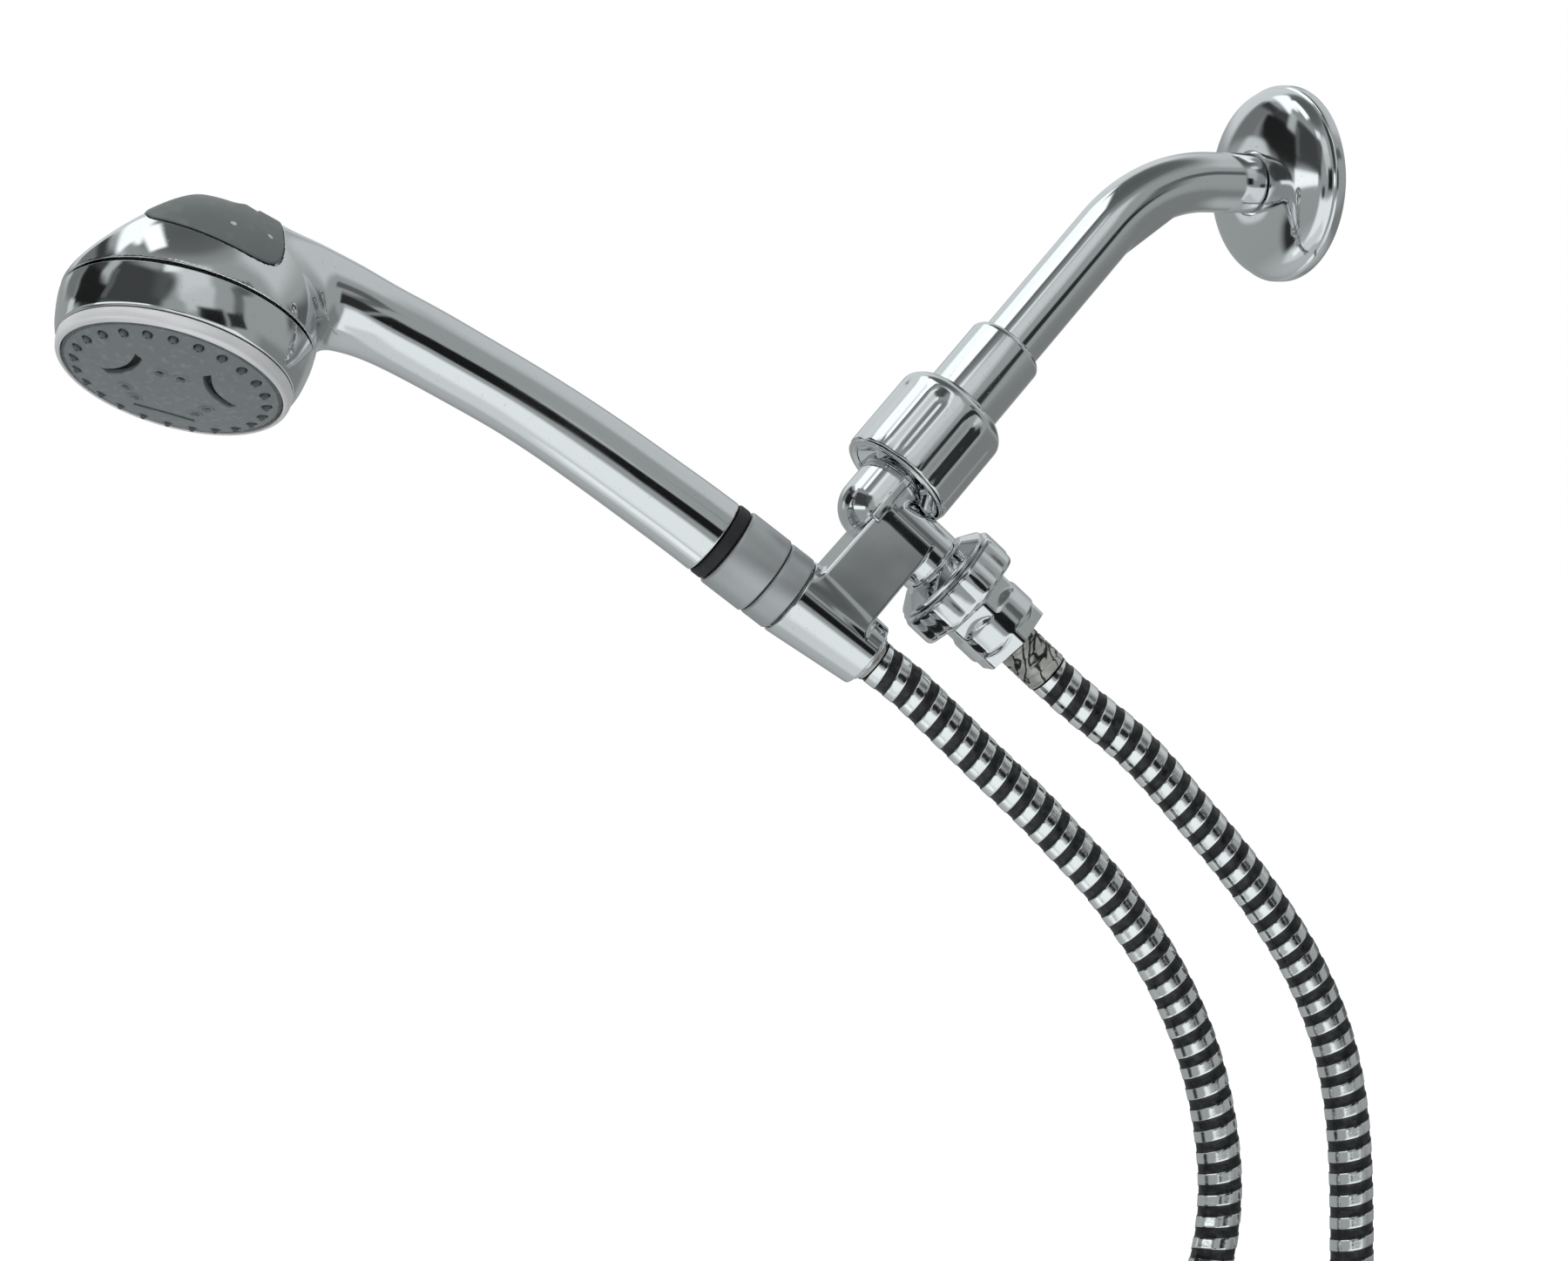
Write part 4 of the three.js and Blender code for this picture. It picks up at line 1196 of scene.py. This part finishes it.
# More than 1 leaves flats between the lobes.
LOBE_SPACING = 1.35


def outlet_coupling():
    """A cone with a bead, the lobed grip, and the spigot for the hose nut."""
    corners = [
        (SPIGOT_RADIUS + 0.4, 29),
        (13.2, 29, 0.5),
        (17.9, 32.0, 0.6),
        (18.8, 32.6, 0.5),
        (18.8, 34.0, 0.5),
        (GRIP_NECK, 34.4, 0.2),
        (GRIP_RADIUS, 34.6, 1.6),
        (GRIP_RADIUS, 46.1, 2.6),
        (17, 46.5, 0.5),
        (SPIGOT_RADIUS, 46.5, 0.3),
        (SPIGOT_RADIUS, 57, 0.5),
        (6, 57),
        (6, 46.4),
        (8.2, 46.4),
        (8.2, 43.2),
        (SPIGOT_RADIUS + 0.4, 43.2),
    ]

    def lobed(angle, radius, height):
        """Wide lobes with flats between them, on the grip only."""
        wave = 0.5 - 0.5 * np.cos(LOBES * angle)
        on_grip = np.clip((radius - GRIP_NECK) / GRIP_RISE, 0, 1) * (height > GRIP_START)
        return radius - LOBE_DEPTH * np.minimum(wave * LOBE_SPACING, 1) * on_grip

    mesh = turned("lobed_coupling", BRACKET, refined(corners), "x", 256, lobed)
    settle(mesh, "bracket", "outlet_coupling", "chrome")


HEXAGON_TURN = math.radians(20)


def hose_nut():
    """A nut with a round middle and hexagonal ends."""
    corners = [
        (HOSE_NUT_BORE, HOSE_NUT_START),
        (11.4, HOSE_NUT_START, 0.4),
        (HOSE_NUT_RADIUS, HOSE_NUT_START + 5.2, 1.6),
        (HOSE_NUT_RADIUS, HOSE_NUT_END - 6.2, 1.8),
        (10.0, HOSE_NUT_END - 0.3, 0.8),
        (7.3, HOSE_NUT_END),
        (7.3, 61.3),
        (HOSE_NUT_BORE, 61.3),
    ]

    def hexagonal(angle, radius, height):
        """Outside the bore, nothing lies within the hexagon or beyond the round middle."""
        flat = HOSE_NUT_RADIUS * math.cos(math.pi / 6) + 0.35
        sweep = (angle + HEXAGON_TURN + math.pi / 6) % (math.pi / 3) - math.pi / 6
        wall = flat / np.cos(sweep)
        outside = np.where(radius > HOSE_NUT_BORE + 0.1, common(radius, wall, 0.5), radius)
        return np.minimum(outside, HOSE_NUT_RADIUS)

    mesh = turned("hexagon_nut", BRACKET, refined(corners, 0.5), "x", 240, hexagonal)
    settle(mesh, "coupling_nut", "hose_nut", "chrome")


# The creases are waves along the sleeve, in radians for each millimetre, that slant by a number of
# starts, and only the part of a wave above a level is pressed in.
CREASE_RATE = 1.9
CREASE_STARTS = 2
CREASE_LEVEL = 0.72


def creased(angle, radius, height):
    """Slanting creases pressed round a sleeve."""
    wave = np.sin(height * CREASE_RATE + CREASE_STARTS * angle)
    depth = CREASE_DEPTH * np.clip(wave - CREASE_LEVEL, 0, 1) / (1 - CREASE_LEVEL)
    return np.where(radius > FERRULE_RADIUS - 1, radius - depth, radius)


def sleeve(name, place, start, end, body, node):
    """A crimped sleeve on the hose."""
    corners = [
        (FERRULE_BORE, start),
        (FERRULE_RADIUS, start, 0.5),
        (FERRULE_RADIUS, end, 0.5),
        (FERRULE_BORE, end),
    ]
    mesh = turned(name, place, refined(corners, 0.3), "x", 128, creased)
    settle(mesh, body, node, "satin", ["crimp"])


bracket_body()
outlet_coupling()
hose_nut()
sleeve("outlet_sleeve", BRACKET, 68.6, 83.4, "bracket", "bracket_ferrule")
sleeve("cradle_sleeve", HANDSET, -36.5, -20.4, "hose_end", "cone_ferrule")


# ---- Handset below the handle ----


def hose_cone():
    """The cone that sits in the cradle."""
    rim = CRADLE_RADIUS - CRADLE_WALL - GAP - 0.1
    foot = rim - CRADLE_TAPER * CONE_LENGTH / CRADLE_LENGTH
    corners = [
        (10.1, 0.2),
        (rim, 0.2, 0.6),
        (foot + 0.1, 1 - CONE_LENGTH, 0.6),
        (foot - 0.5, -CONE_LENGTH, 0.4),
        (8.3, -CONE_LENGTH),
        (8.3, -20),
        (7.1, -20),
        (7.1, -14),
        (10.1, -14),
    ]
    mesh = turned("cone_nut", HANDSET, corners, "x")
    settle(mesh, "handset", "hose_cone", "chrome")


def band(name, node, start, end, radius, ease, slot):
    """One of the bands between the cradle and the handle."""
    bore = SPIGOT_RADIUS + 0.4
    corners = [(bore, start), (radius, start, ease), (radius, end, ease), (bore, end)]
    mesh = turned(name, HANDSET, corners, "x", 144)
    settle(mesh, "handset", node, slot)


hose_cone()
band("lower_band", "swivel_ring", 0.6, 10.3, 14.2, 1.1, "satin")
band("barrel_band", "barrel_nut", 10.7, 27.2, 14.5, 1.0, "satin")
band("seal_band", "handle_seal", 27.6, 32.3, 13.9, 1.2, "rubber")


# ---- Handle and crown ----

# Distance up the handle, drop of its middle, radius.
HANDLE_LINE = np.array([
    (HANDLE_START, 0.2, 13.7),
    (42, 0.3, 13.6),
    (58, 0.8, 13.4),
    (76, 1.5, 13.2),
    (112, 4.4, 12.7),
    (133, 7.6, 12.8),
    (153, 11.1, 13.0),
    (168, 15.0, 13.6),
    (180, 19.6, 15.5),
    (192, 25.1, 17.6),
    (204, 31.3, 19.7),
    (HANDLE_END, 37, 21),
])

# The flat slope at the crown's front: a point of it, as x and z in the head's frame, and its fall.
FRONT_POINT = (20, 46.2)
FRONT_SLOPE = math.radians(47.5)


TABLE_END = 260
TABLE_STEP = 0.25


def tabled(curve):
    """A curve read from a fine table over the handset's length, which is quick for a whole grid."""
    at = np.arange(0, TABLE_END, TABLE_STEP)
    values = curve(at)
    return lambda x: np.interp(x, at, values)


drop_curve = Curve(HANDLE_LINE[:, 0], HANDLE_LINE[:, 1])
handle_drop = tabled(drop_curve)
handle_slope = tabled(lambda at: np.gradient(drop_curve(at), at))
handle_radius = tabled(Curve(HANDLE_LINE[:, 0], HANDLE_LINE[:, 2]))


def handle_field(x, y, z, thinner=0.0):
    """A bent tube in the handset's frame, thinner where its inside is wanted."""
    lean = 1 / np.sqrt(1 + handle_slope(x) ** 2)
    off_middle = np.sqrt(y**2 + ((z + handle_drop(x)) * lean) ** 2)
    return np.maximum(off_middle - handle_radius(x) + thinner, x - HANDLE_END)


def dome_field(x, y, z, thinner=0.0):
    """The crown over the seam in the head's frame: a dome with a flat slope at its front."""
    radius, height = HEAD_RADIUS - thinner, DOME_HEIGHT - thinner
    rise = np.maximum(z - SEAM_HEIGHT, 0)
    across = np.sqrt(x**2 + y**2)
    scaled = np.sqrt((across / radius) ** 2 + (rise / height) ** 2)
    round_part = (scaled - 1) * radius
    front = (x - FRONT_POINT[0]) * math.sin(FRONT_SLOPE) + (z - FRONT_POINT[1]) * math.cos(FRONT_SLOPE)
    return common(round_part, front + thinner, 2.0)


def crown_field(x, y, z):
    """Dome and handle together, in the handset's frame."""
    dome = place_field(dome_field, HEAD, HANDSET)(x, y, z)
    return merge(handle_field(x, y, z), dome, NECK_FILLET)


# The saddle seen from its side, in the head's frame.
INLAY_OUTLINE = [
    (-17, 70),
    (-17, 38),
    (-15.8, 33.4),
    (-12.6, 30.8),
    (-8.5, 30.2),
    (4, 31.4),
    (25.2, 35.6),
    (26.5, 38),
    (26.5, 70),
]


def inlay_side(x, y, z):
    return polygon(x, z, INLAY_OUTLINE, 1.6)


def dial_room(x, y, z):
    """Space under the seam for the dial, scooped out of the handle's end."""
    return np.maximum(z - SEAM_HEIGHT, np.sqrt(x**2 + y**2) - HEAD_RADIUS - DIAL_ROOM)


def housing_field(x, y, z):
    """The shell of crown and handle, with room for the dial, the water's way in and the inlay."""
    outside = crown_field(x, y, z)
    below = place_field(dial_room, HEAD, HANDSET)(x, y, z)
    shell = without(common(outside, HANDLE_START - x, 0.7), below, 0.5)
    room = place_field(lambda a, b, c: dome_field(a, b, c, SHELL), HEAD, HANDSET)(x, y, z)
    room = np.minimum(room, np.maximum(handle_field(x, y, z, SHELL), HANDLE_HOLLOW - x))
    inlet = np.maximum(np.sqrt(y**2 + z**2) - INLET_RADIUS, x - INLET_END)
    side = place_field(inlay_side, HEAD, HANDSET)(x, y, z) - INLAY_GAP
    pocket = np.maximum(side, -POCKET_DEPTH - outside)
    return without(shell, np.minimum(np.minimum(room, inlet), pocket), 0.25)


def handle_housing():
    low, high = (31, -43, -78), (254, 43, 17)
    mesh = skin("handle_shell", housing_field, low, high, 0.55, HANDSET)
    settle(mesh, "handset", "handle_housing", "chrome", sharp=0)


def inlay_field(x, y, z):
    """A saddle over the crown, which stands a little proud of it."""
    crown = place_field(crown_field, HANDSET, HEAD)(x, y, z)
    layer = common(crown - INLAY_PROUD, -INLAY_DEPTH - crown, 0.6)
    return common(layer, inlay_side(x, y, z), 0.9)


def crown_inlay():
    low, high = (-20, -44, 26), (29, 44, 66)
    mesh = skin("saddle_inlay", inlay_field, low, high, 0.4, HEAD)
    settle(mesh, "handset", "crown_inlay", "slate", sharp=0)


handle_housing()
crown_inlay()


# ---- Dial: bezel, trim, face and nozzles ----

NIPPLES = 24
NIPPLE_CIRCLE = 30.8
HOLE_RADIUS = 1.6
JET_CIRCLE = 13
JET_ANGLES = (78, 198, 318)
JET_RADIUS = 1.1
JET_OFFSET = 3.3
# A slot follows a circle about a point this far out, for an angle to each side of its middle.
SLOT_CENTRE = 40
SLOT_RADIUS = 24
SLOT_ANGLES = (18, 138, 258)
SLOT_SPREAD = math.radians(24)
SLOT_HALF_WIDTH = 1.2
# The raised rings round the jets, and the groove inside the plate's edge.
RING_RADIUS = 0.9
RING_HALF_WIDTH = 0.45
RING_HEIGHT = 0.35
GROOVE_RADIUS = 34.6
GROOVE_HALF_WIDTH = 0.25
GROOVE_DEPTH = 0.45
# A height over the curved plate, times this, is about the distance to it.
FACE_LEAN = 0.96
FAR = 1e3


def face_height(radius):
    return -FACE_BULGE * (1 - (radius / FACE_RADIUS) ** 2)


def around(x, y, degrees):
    """x and y as seen from a line at an angle round the head's axis."""
    turn = math.radians(degrees)
    return x * math.cos(turn) + y * math.sin(turn), y * math.cos(turn) - x * math.sin(turn)


def slots_field(x, y):
    """Three narrow slots, bowed toward the middle of the face."""
    nearest = np.full(np.shape(x), FAR)
    for angle in SLOT_ANGLES:
        along, across = around(x, y, angle)
        ring = np.abs(np.sqrt((along - SLOT_CENTRE) ** 2 + across**2) - SLOT_RADIUS) - SLOT_HALF_WIDTH
        spread = np.abs(across) - SLOT_RADIUS * math.sin(SLOT_SPREAD)
        nearest = np.minimum(nearest, np.maximum(np.maximum(ring, spread), along - SLOT_CENTRE))
    return nearest


def jets_field(x, y):
    """Three pairs of round jets between the slots."""
    nearest = np.full(np.shape(x), FAR)
    for angle in JET_ANGLES:
        along, across = around(x, y, angle)
        spot = np.sqrt((along - JET_CIRCLE) ** 2 + (np.abs(across) - JET_OFFSET) ** 2) - JET_RADIUS
        nearest = np.minimum(nearest, spot)
    return nearest


def holes_field(x, y):
    """The ring of holes for the nozzles."""
    pitch = TURN / NIPPLES
    angle = np.arctan2(y, x)
    across = np.sqrt(x**2 + y**2)
    off = (angle + pitch / 2) % pitch - pitch / 2
    ahead, beside = across * np.cos(off) - NIPPLE_CIRCLE, across * np.sin(off)
    return np.sqrt(ahead**2 + beside**2) - HOLE_RADIUS


def face_field(x, y, z):
    """The bulging plate with its rings, slots, jets, holes and groove."""
    across = np.sqrt(x**2 + y**2)
    below = (face_height(across) - z) * FACE_LEAN
    above = (z - face_height(across) - FACE_THICKNESS) * FACE_LEAN
    plate = common(np.maximum(below, above), across - FACE_RADIUS, 0.6)
    jets = jets_field(x, y)
    ring = np.abs(jets - RING_RADIUS) - RING_HALF_WIDTH
    plate = merge(plate, np.maximum(ring, np.maximum(below - RING_HEIGHT, above)), 0.3)
    cuts = np.minimum(np.minimum(slots_field(x, y), jets), holes_field(x, y))
    plate = without(plate, cuts, 0.5)
    groove = np.maximum(np.abs(across - GROOVE_RADIUS) - GROOVE_HALF_WIDTH, np.abs(below) - GROOVE_DEPTH)
    return without(plate, groove, 0.2)


def spray_face():
    low, high = (-37, -37, -8), (37, 37, 5)
    mesh = skin("slate_plate", face_field, low, high, 0.36, HEAD)
    settle(mesh, "selector", "spray_face", "slate", ["face"], sharp=0)


def joined(name, parts):
    """Several meshes as one."""
    points, faces = [], []
    for part in parts:
        start = len(points)
        points.extend(vertex.co.copy() for vertex in part.vertices)
        faces.extend([start + corner for corner in face.vertices] for face in part.polygons)
        bpy.data.meshes.remove(part)
    mesh = bpy.data.meshes.new(name)
    mesh.from_pydata(points, [], faces)
    return mesh


# A nozzle from its root in the mat to its tip, with its hole.
NIPPLE = [
    (0, 2.4),
    (1.3, 2.4),
    (1.1, -1.4, 0.4),
    (0.85, -2.5, 0.4),
    (0.4, -2.5, 0.15),
    (0.4, -1),
    (0, -1),
]


# The mat's bore, radius, and top over the plate's back.
MAT_BORE = 25
MAT_RADIUS = 34.4
MAT_TOP = 1.9


def nozzle_mat():
    """A rubber ring behind the plate, with a nozzle through each hole."""
    low, high = FACE_THICKNESS + GAP, FACE_THICKNESS + MAT_TOP
    base = [
        (MAT_BORE, face_height(MAT_BORE) + low),
        (MAT_RADIUS, face_height(MAT_RADIUS) + low),
        (MAT_RADIUS, face_height(MAT_RADIUS) + high),
        (MAT_BORE, face_height(MAT_BORE) + high),
    ]
    parts = [turned("mat", HEAD, base, segments=96)]
    for i in range(NIPPLES):
        angle = i * TURN / NIPPLES
        x, y = NIPPLE_CIRCLE * math.cos(angle), NIPPLE_CIRCLE * math.sin(angle)
        spot = Place(HEAD.out((x, y, 0)), HEAD.axes[:, 0], HEAD.axes[:, 2])
        parts.append(turned("nipple", spot, NIPPLE, segments=20))
    mesh = joined("nozzle_ring", parts)
    settle(mesh, "selector", "nozzle_mat", "rubber", ["nipples"])


def trim_ring():
    """The rounded lip round the plate."""
    bore = FACE_RADIUS + 0.35
    corners = [
        (bore, -0.3, 0.3),
        (36.3, -0.6, 0.7),
        (37.4, 0.4, 0.8),
        (LIP_RADIUS, 2.2, 1.2),
        (LIP_RADIUS, LIP_DEPTH, 0.3),
        (bore, LIP_DEPTH),
    ]
    mesh = turned("lip_ring", HEAD, corners, segments=192)
    settle(mesh, "selector", "trim_ring", "satin", ["lip"])


def selector_bezel():
    """The dial's rounded side, from the lip up to the crown."""
    curve = Curve([0, 3.1, 7.6, 12.1, 14.3], [38.2, 39.4, 40.4, 41.0, HEAD_RADIUS])
    side = [(float(curve(t)), BEZEL_FOOT + t) for t in np.linspace(0.4, 13.6, 24)]
    corners = [
        (BEZEL_BORE, BEZEL_FOOT),
        (38.0, BEZEL_FOOT, 0.4),
        *side,
        (HEAD_RADIUS, BEZEL_TOP, 0.4),
        (BEZEL_BORE, BEZEL_TOP),
    ]
    mesh = turned("dial_bezel", HEAD, corners, segments=192)
    settle(mesh, "selector", "selector_bezel", "chrome")


spray_face()
nozzle_mat()
trim_ring()
selector_bezel()


# ---- The frame's own pieces ----


def dress_frame():
    """Gives every CAD piece the finish of its material slot."""
    for part in frame["record"]["subparts"]:
        materials = frame["nodes"][part["node"]].data.materials
        materials.clear()
        materials.append(FINISHES[part["material_slot"]])


dress_frame()


# ---- Floor, light and surroundings ----

FLOOR_REACH = 6.0
FLOOR_GAP = 0.02


def floor():
    """A floor just under the hose, near white to the camera and grey to the light."""
    level = cad_box[0].z - FLOOR_GAP
    mesh = bpy.data.meshes.new("floor")
    signs = [(-1, -1), (1, -1), (1, 1), (-1, 1)]
    corners = [(x * FLOOR_REACH, y * FLOOR_REACH, level) for x, y in signs]
    mesh.from_pydata(corners, [], [(0, 1, 2, 3)])
    piece = bpy.data.objects.new("floor", mesh)
    bpy.context.scene.collection.objects.link(piece)
    material = bpy.data.materials.new("pale_floor")
    material.use_nodes = True
    sketch = Sketch(material.node_tree)
    seen = sketch.node("ShaderNodeLightPath", output="Is Camera Ray")
    glow = sketch.node("ShaderNodeEmission", None, {"Color": (1, 1, 1), "Strength": 0.88})
    matte = sketch.node("ShaderNodeBsdfDiffuse", None, {"Color": (0.3, 0.3, 0.3)})
    paper = sketch.node("ShaderNodeAddShader", None, {0: glow, 1: matte})
    plain = sketch.node("ShaderNodeBsdfDiffuse", None, {"Color": (0.8, 0.8, 0.8)})
    shown = sketch.node("ShaderNodeMixShader", None, {0: seen, 1: plain, 2: paper})
    sketch.node("ShaderNodeOutputMaterial", None, {"Surface": shown})
    mesh.materials.append(material)
    piece.visible_glossy = False


# Panels of the studio that metal sees: compass angle, height, half width, half height, soft edge
# (all in degrees) and brightness.
PANELS = [
    (85, -32, 40, 17, 14, 0.24),
    (102, 40, 32, 18, 16, 0.62),
    (100, 3, 22, 7, 8, 0.12),
    (172, 36, 24, 22, 12, 0.75),
    (-86, 30, 42, 19, 8, 0.06),
    (-44, 34, 6, 14, 12, 0.1),
    (-122, 20, 18, 12, 6, 0.016),
    (-100, 27, 3, 12, 3, 0.12),
    (-110, 42, 5, 12, 5, 0.5),
    (-152, 24, 9, 14, 6, 0.2),
    (-146, 37, 9, 4, 5, 0.05),
    (-142, 4, 5, 7, 4, 0.7),
    (-110, 70, 15, 6, 4, 1.4),
    (-143, 57, 17, 9, 5, 1.3),
    (-106, 54, 8, 4, 5, 0.32),
    (-34, 51, 8, 5, 5, 1.0),
    (-11, 36, 13, 15, 9, 0.72),
    (-8, 20, 13, 12, 6, 0.62),
    (28, 20, 4, 11, 5, 0.15),
    (38, 27, 7, 5, 5, 0.12),
    (-12, -44, 32, 26, 9, 0.98),
    (-60, -68, 36, 12, 10, 0.75),
    (-98, -58, 8, 5, 5, 1.1),
    (-33, -10, 6, 6, 4, 0.05),
    (24, 3, 8, 9, 4, 0.03),
    (1, 3.5, 12, 11.8, 5, 0.012),
    (-80, 3, 26, 5, 3, 1.2),
    (-108, -28, 10, 16, 12, 0.03),
]


# Brightness of the room between the panels, from straight down (0) to straight up (1).
ROOM_LEVELS = [
    (0, 0.55),
    (0.15, 0.45),
    (0.25, 0.36),
    (0.5, 0.37),
    (0.88, 0.37),
    (0.93, 0.28),
    (0.96, 0.15),
    (1, 0.12),
]


def studio_grey(level):
    """The studio's grey leans a little to blue-green."""
    return 0.945 * level, level, level


def surroundings():
    """A white studio. Metal sees its bright panels and dark flags, and the grey of the room."""
    world = bpy.data.worlds.new("studio")
    bpy.context.scene.world = world
    world.use_nodes = True
    sketch = Sketch(world.node_tree)
    direction = sketch.node("ShaderNodeTexCoord", output="Generated")

    def toward(vector):
        inputs = {0: direction, 1: tuple(vector)}
        return sketch.node("ShaderNodeVectorMath", {"operation": "DOT_PRODUCT"}, inputs, "Value")

    height = toward((0, 0, 1))
    stops = [(at, studio_grey(level)) for at, level in ROOM_LEVELS]
    tone = sketch.node("ShaderNodeValToRGB", {"stops": stops}, {"Fac": height * 0.5 + 0.5})
    for compass, lift, half_width, half_height, soft, brightness in PANELS:
        a, e = math.radians(compass), math.radians(lift)
        ahead = Vector((math.cos(e) * math.cos(a), math.cos(e) * math.sin(a), math.sin(e)))
        across = Vector((-math.sin(a), math.cos(a), 0))
        above = ahead.cross(across)
        # The other two masks show a panel on both sides of the room, and this one keeps its own.
        mask = sketch.band(toward(ahead), 0.0, 0.2)
        for line, half in ((across, half_width), (above, half_height)):
            near, far = (math.sin(math.radians(half + side * soft / 2)) for side in (-1, 1))
            mask = mask * sketch.band(abs(toward(line)), near, far, 1.0, 0.0)
        tone = sketch.blend(mask, tone, studio_grey(brightness))
    mirrored = sketch.node("ShaderNodeLightPath", output="Is Glossy Ray")
    seen = sketch.node("ShaderNodeLightPath", output="Is Camera Ray")
    plain = sketch.blend(seen, (0.62, 0.62, 0.62), (1, 1, 1))
    colour = sketch.blend(mirrored, plain, tone)
    shader = sketch.node("ShaderNodeBackground", None, {"Color": colour, "Strength": 1.0})
    sketch.node("ShaderNodeOutputWorld", None, {"Surface": shader})


LAMP_AIM = Vector((0, -0.2, -0.1))


def lamp(name, where, size, power):
    """A rectangular lamp that metal doesn't mirror."""
    data = bpy.data.lights.new(name, "AREA")
    data.shape = "RECTANGLE"
    data.size, data.size_y = size
    data.energy = power
    light = bpy.data.objects.new(name, data)
    light.location = where
    light.visible_glossy = False
    light.rotation_euler = (LAMP_AIM - Vector(where)).to_track_quat("-Z", "Y").to_euler()
    bpy.context.scene.collection.objects.link(light)


floor()
surroundings()
lamp("key", (0.9, -1.6, 1.5), (1.0, 0.7), 26)
lamp("fill", (-1.4, -0.9, 0.6), (1.2, 1.0), 10)
bpy.context.scene.view_settings.view_transform = "Standard"
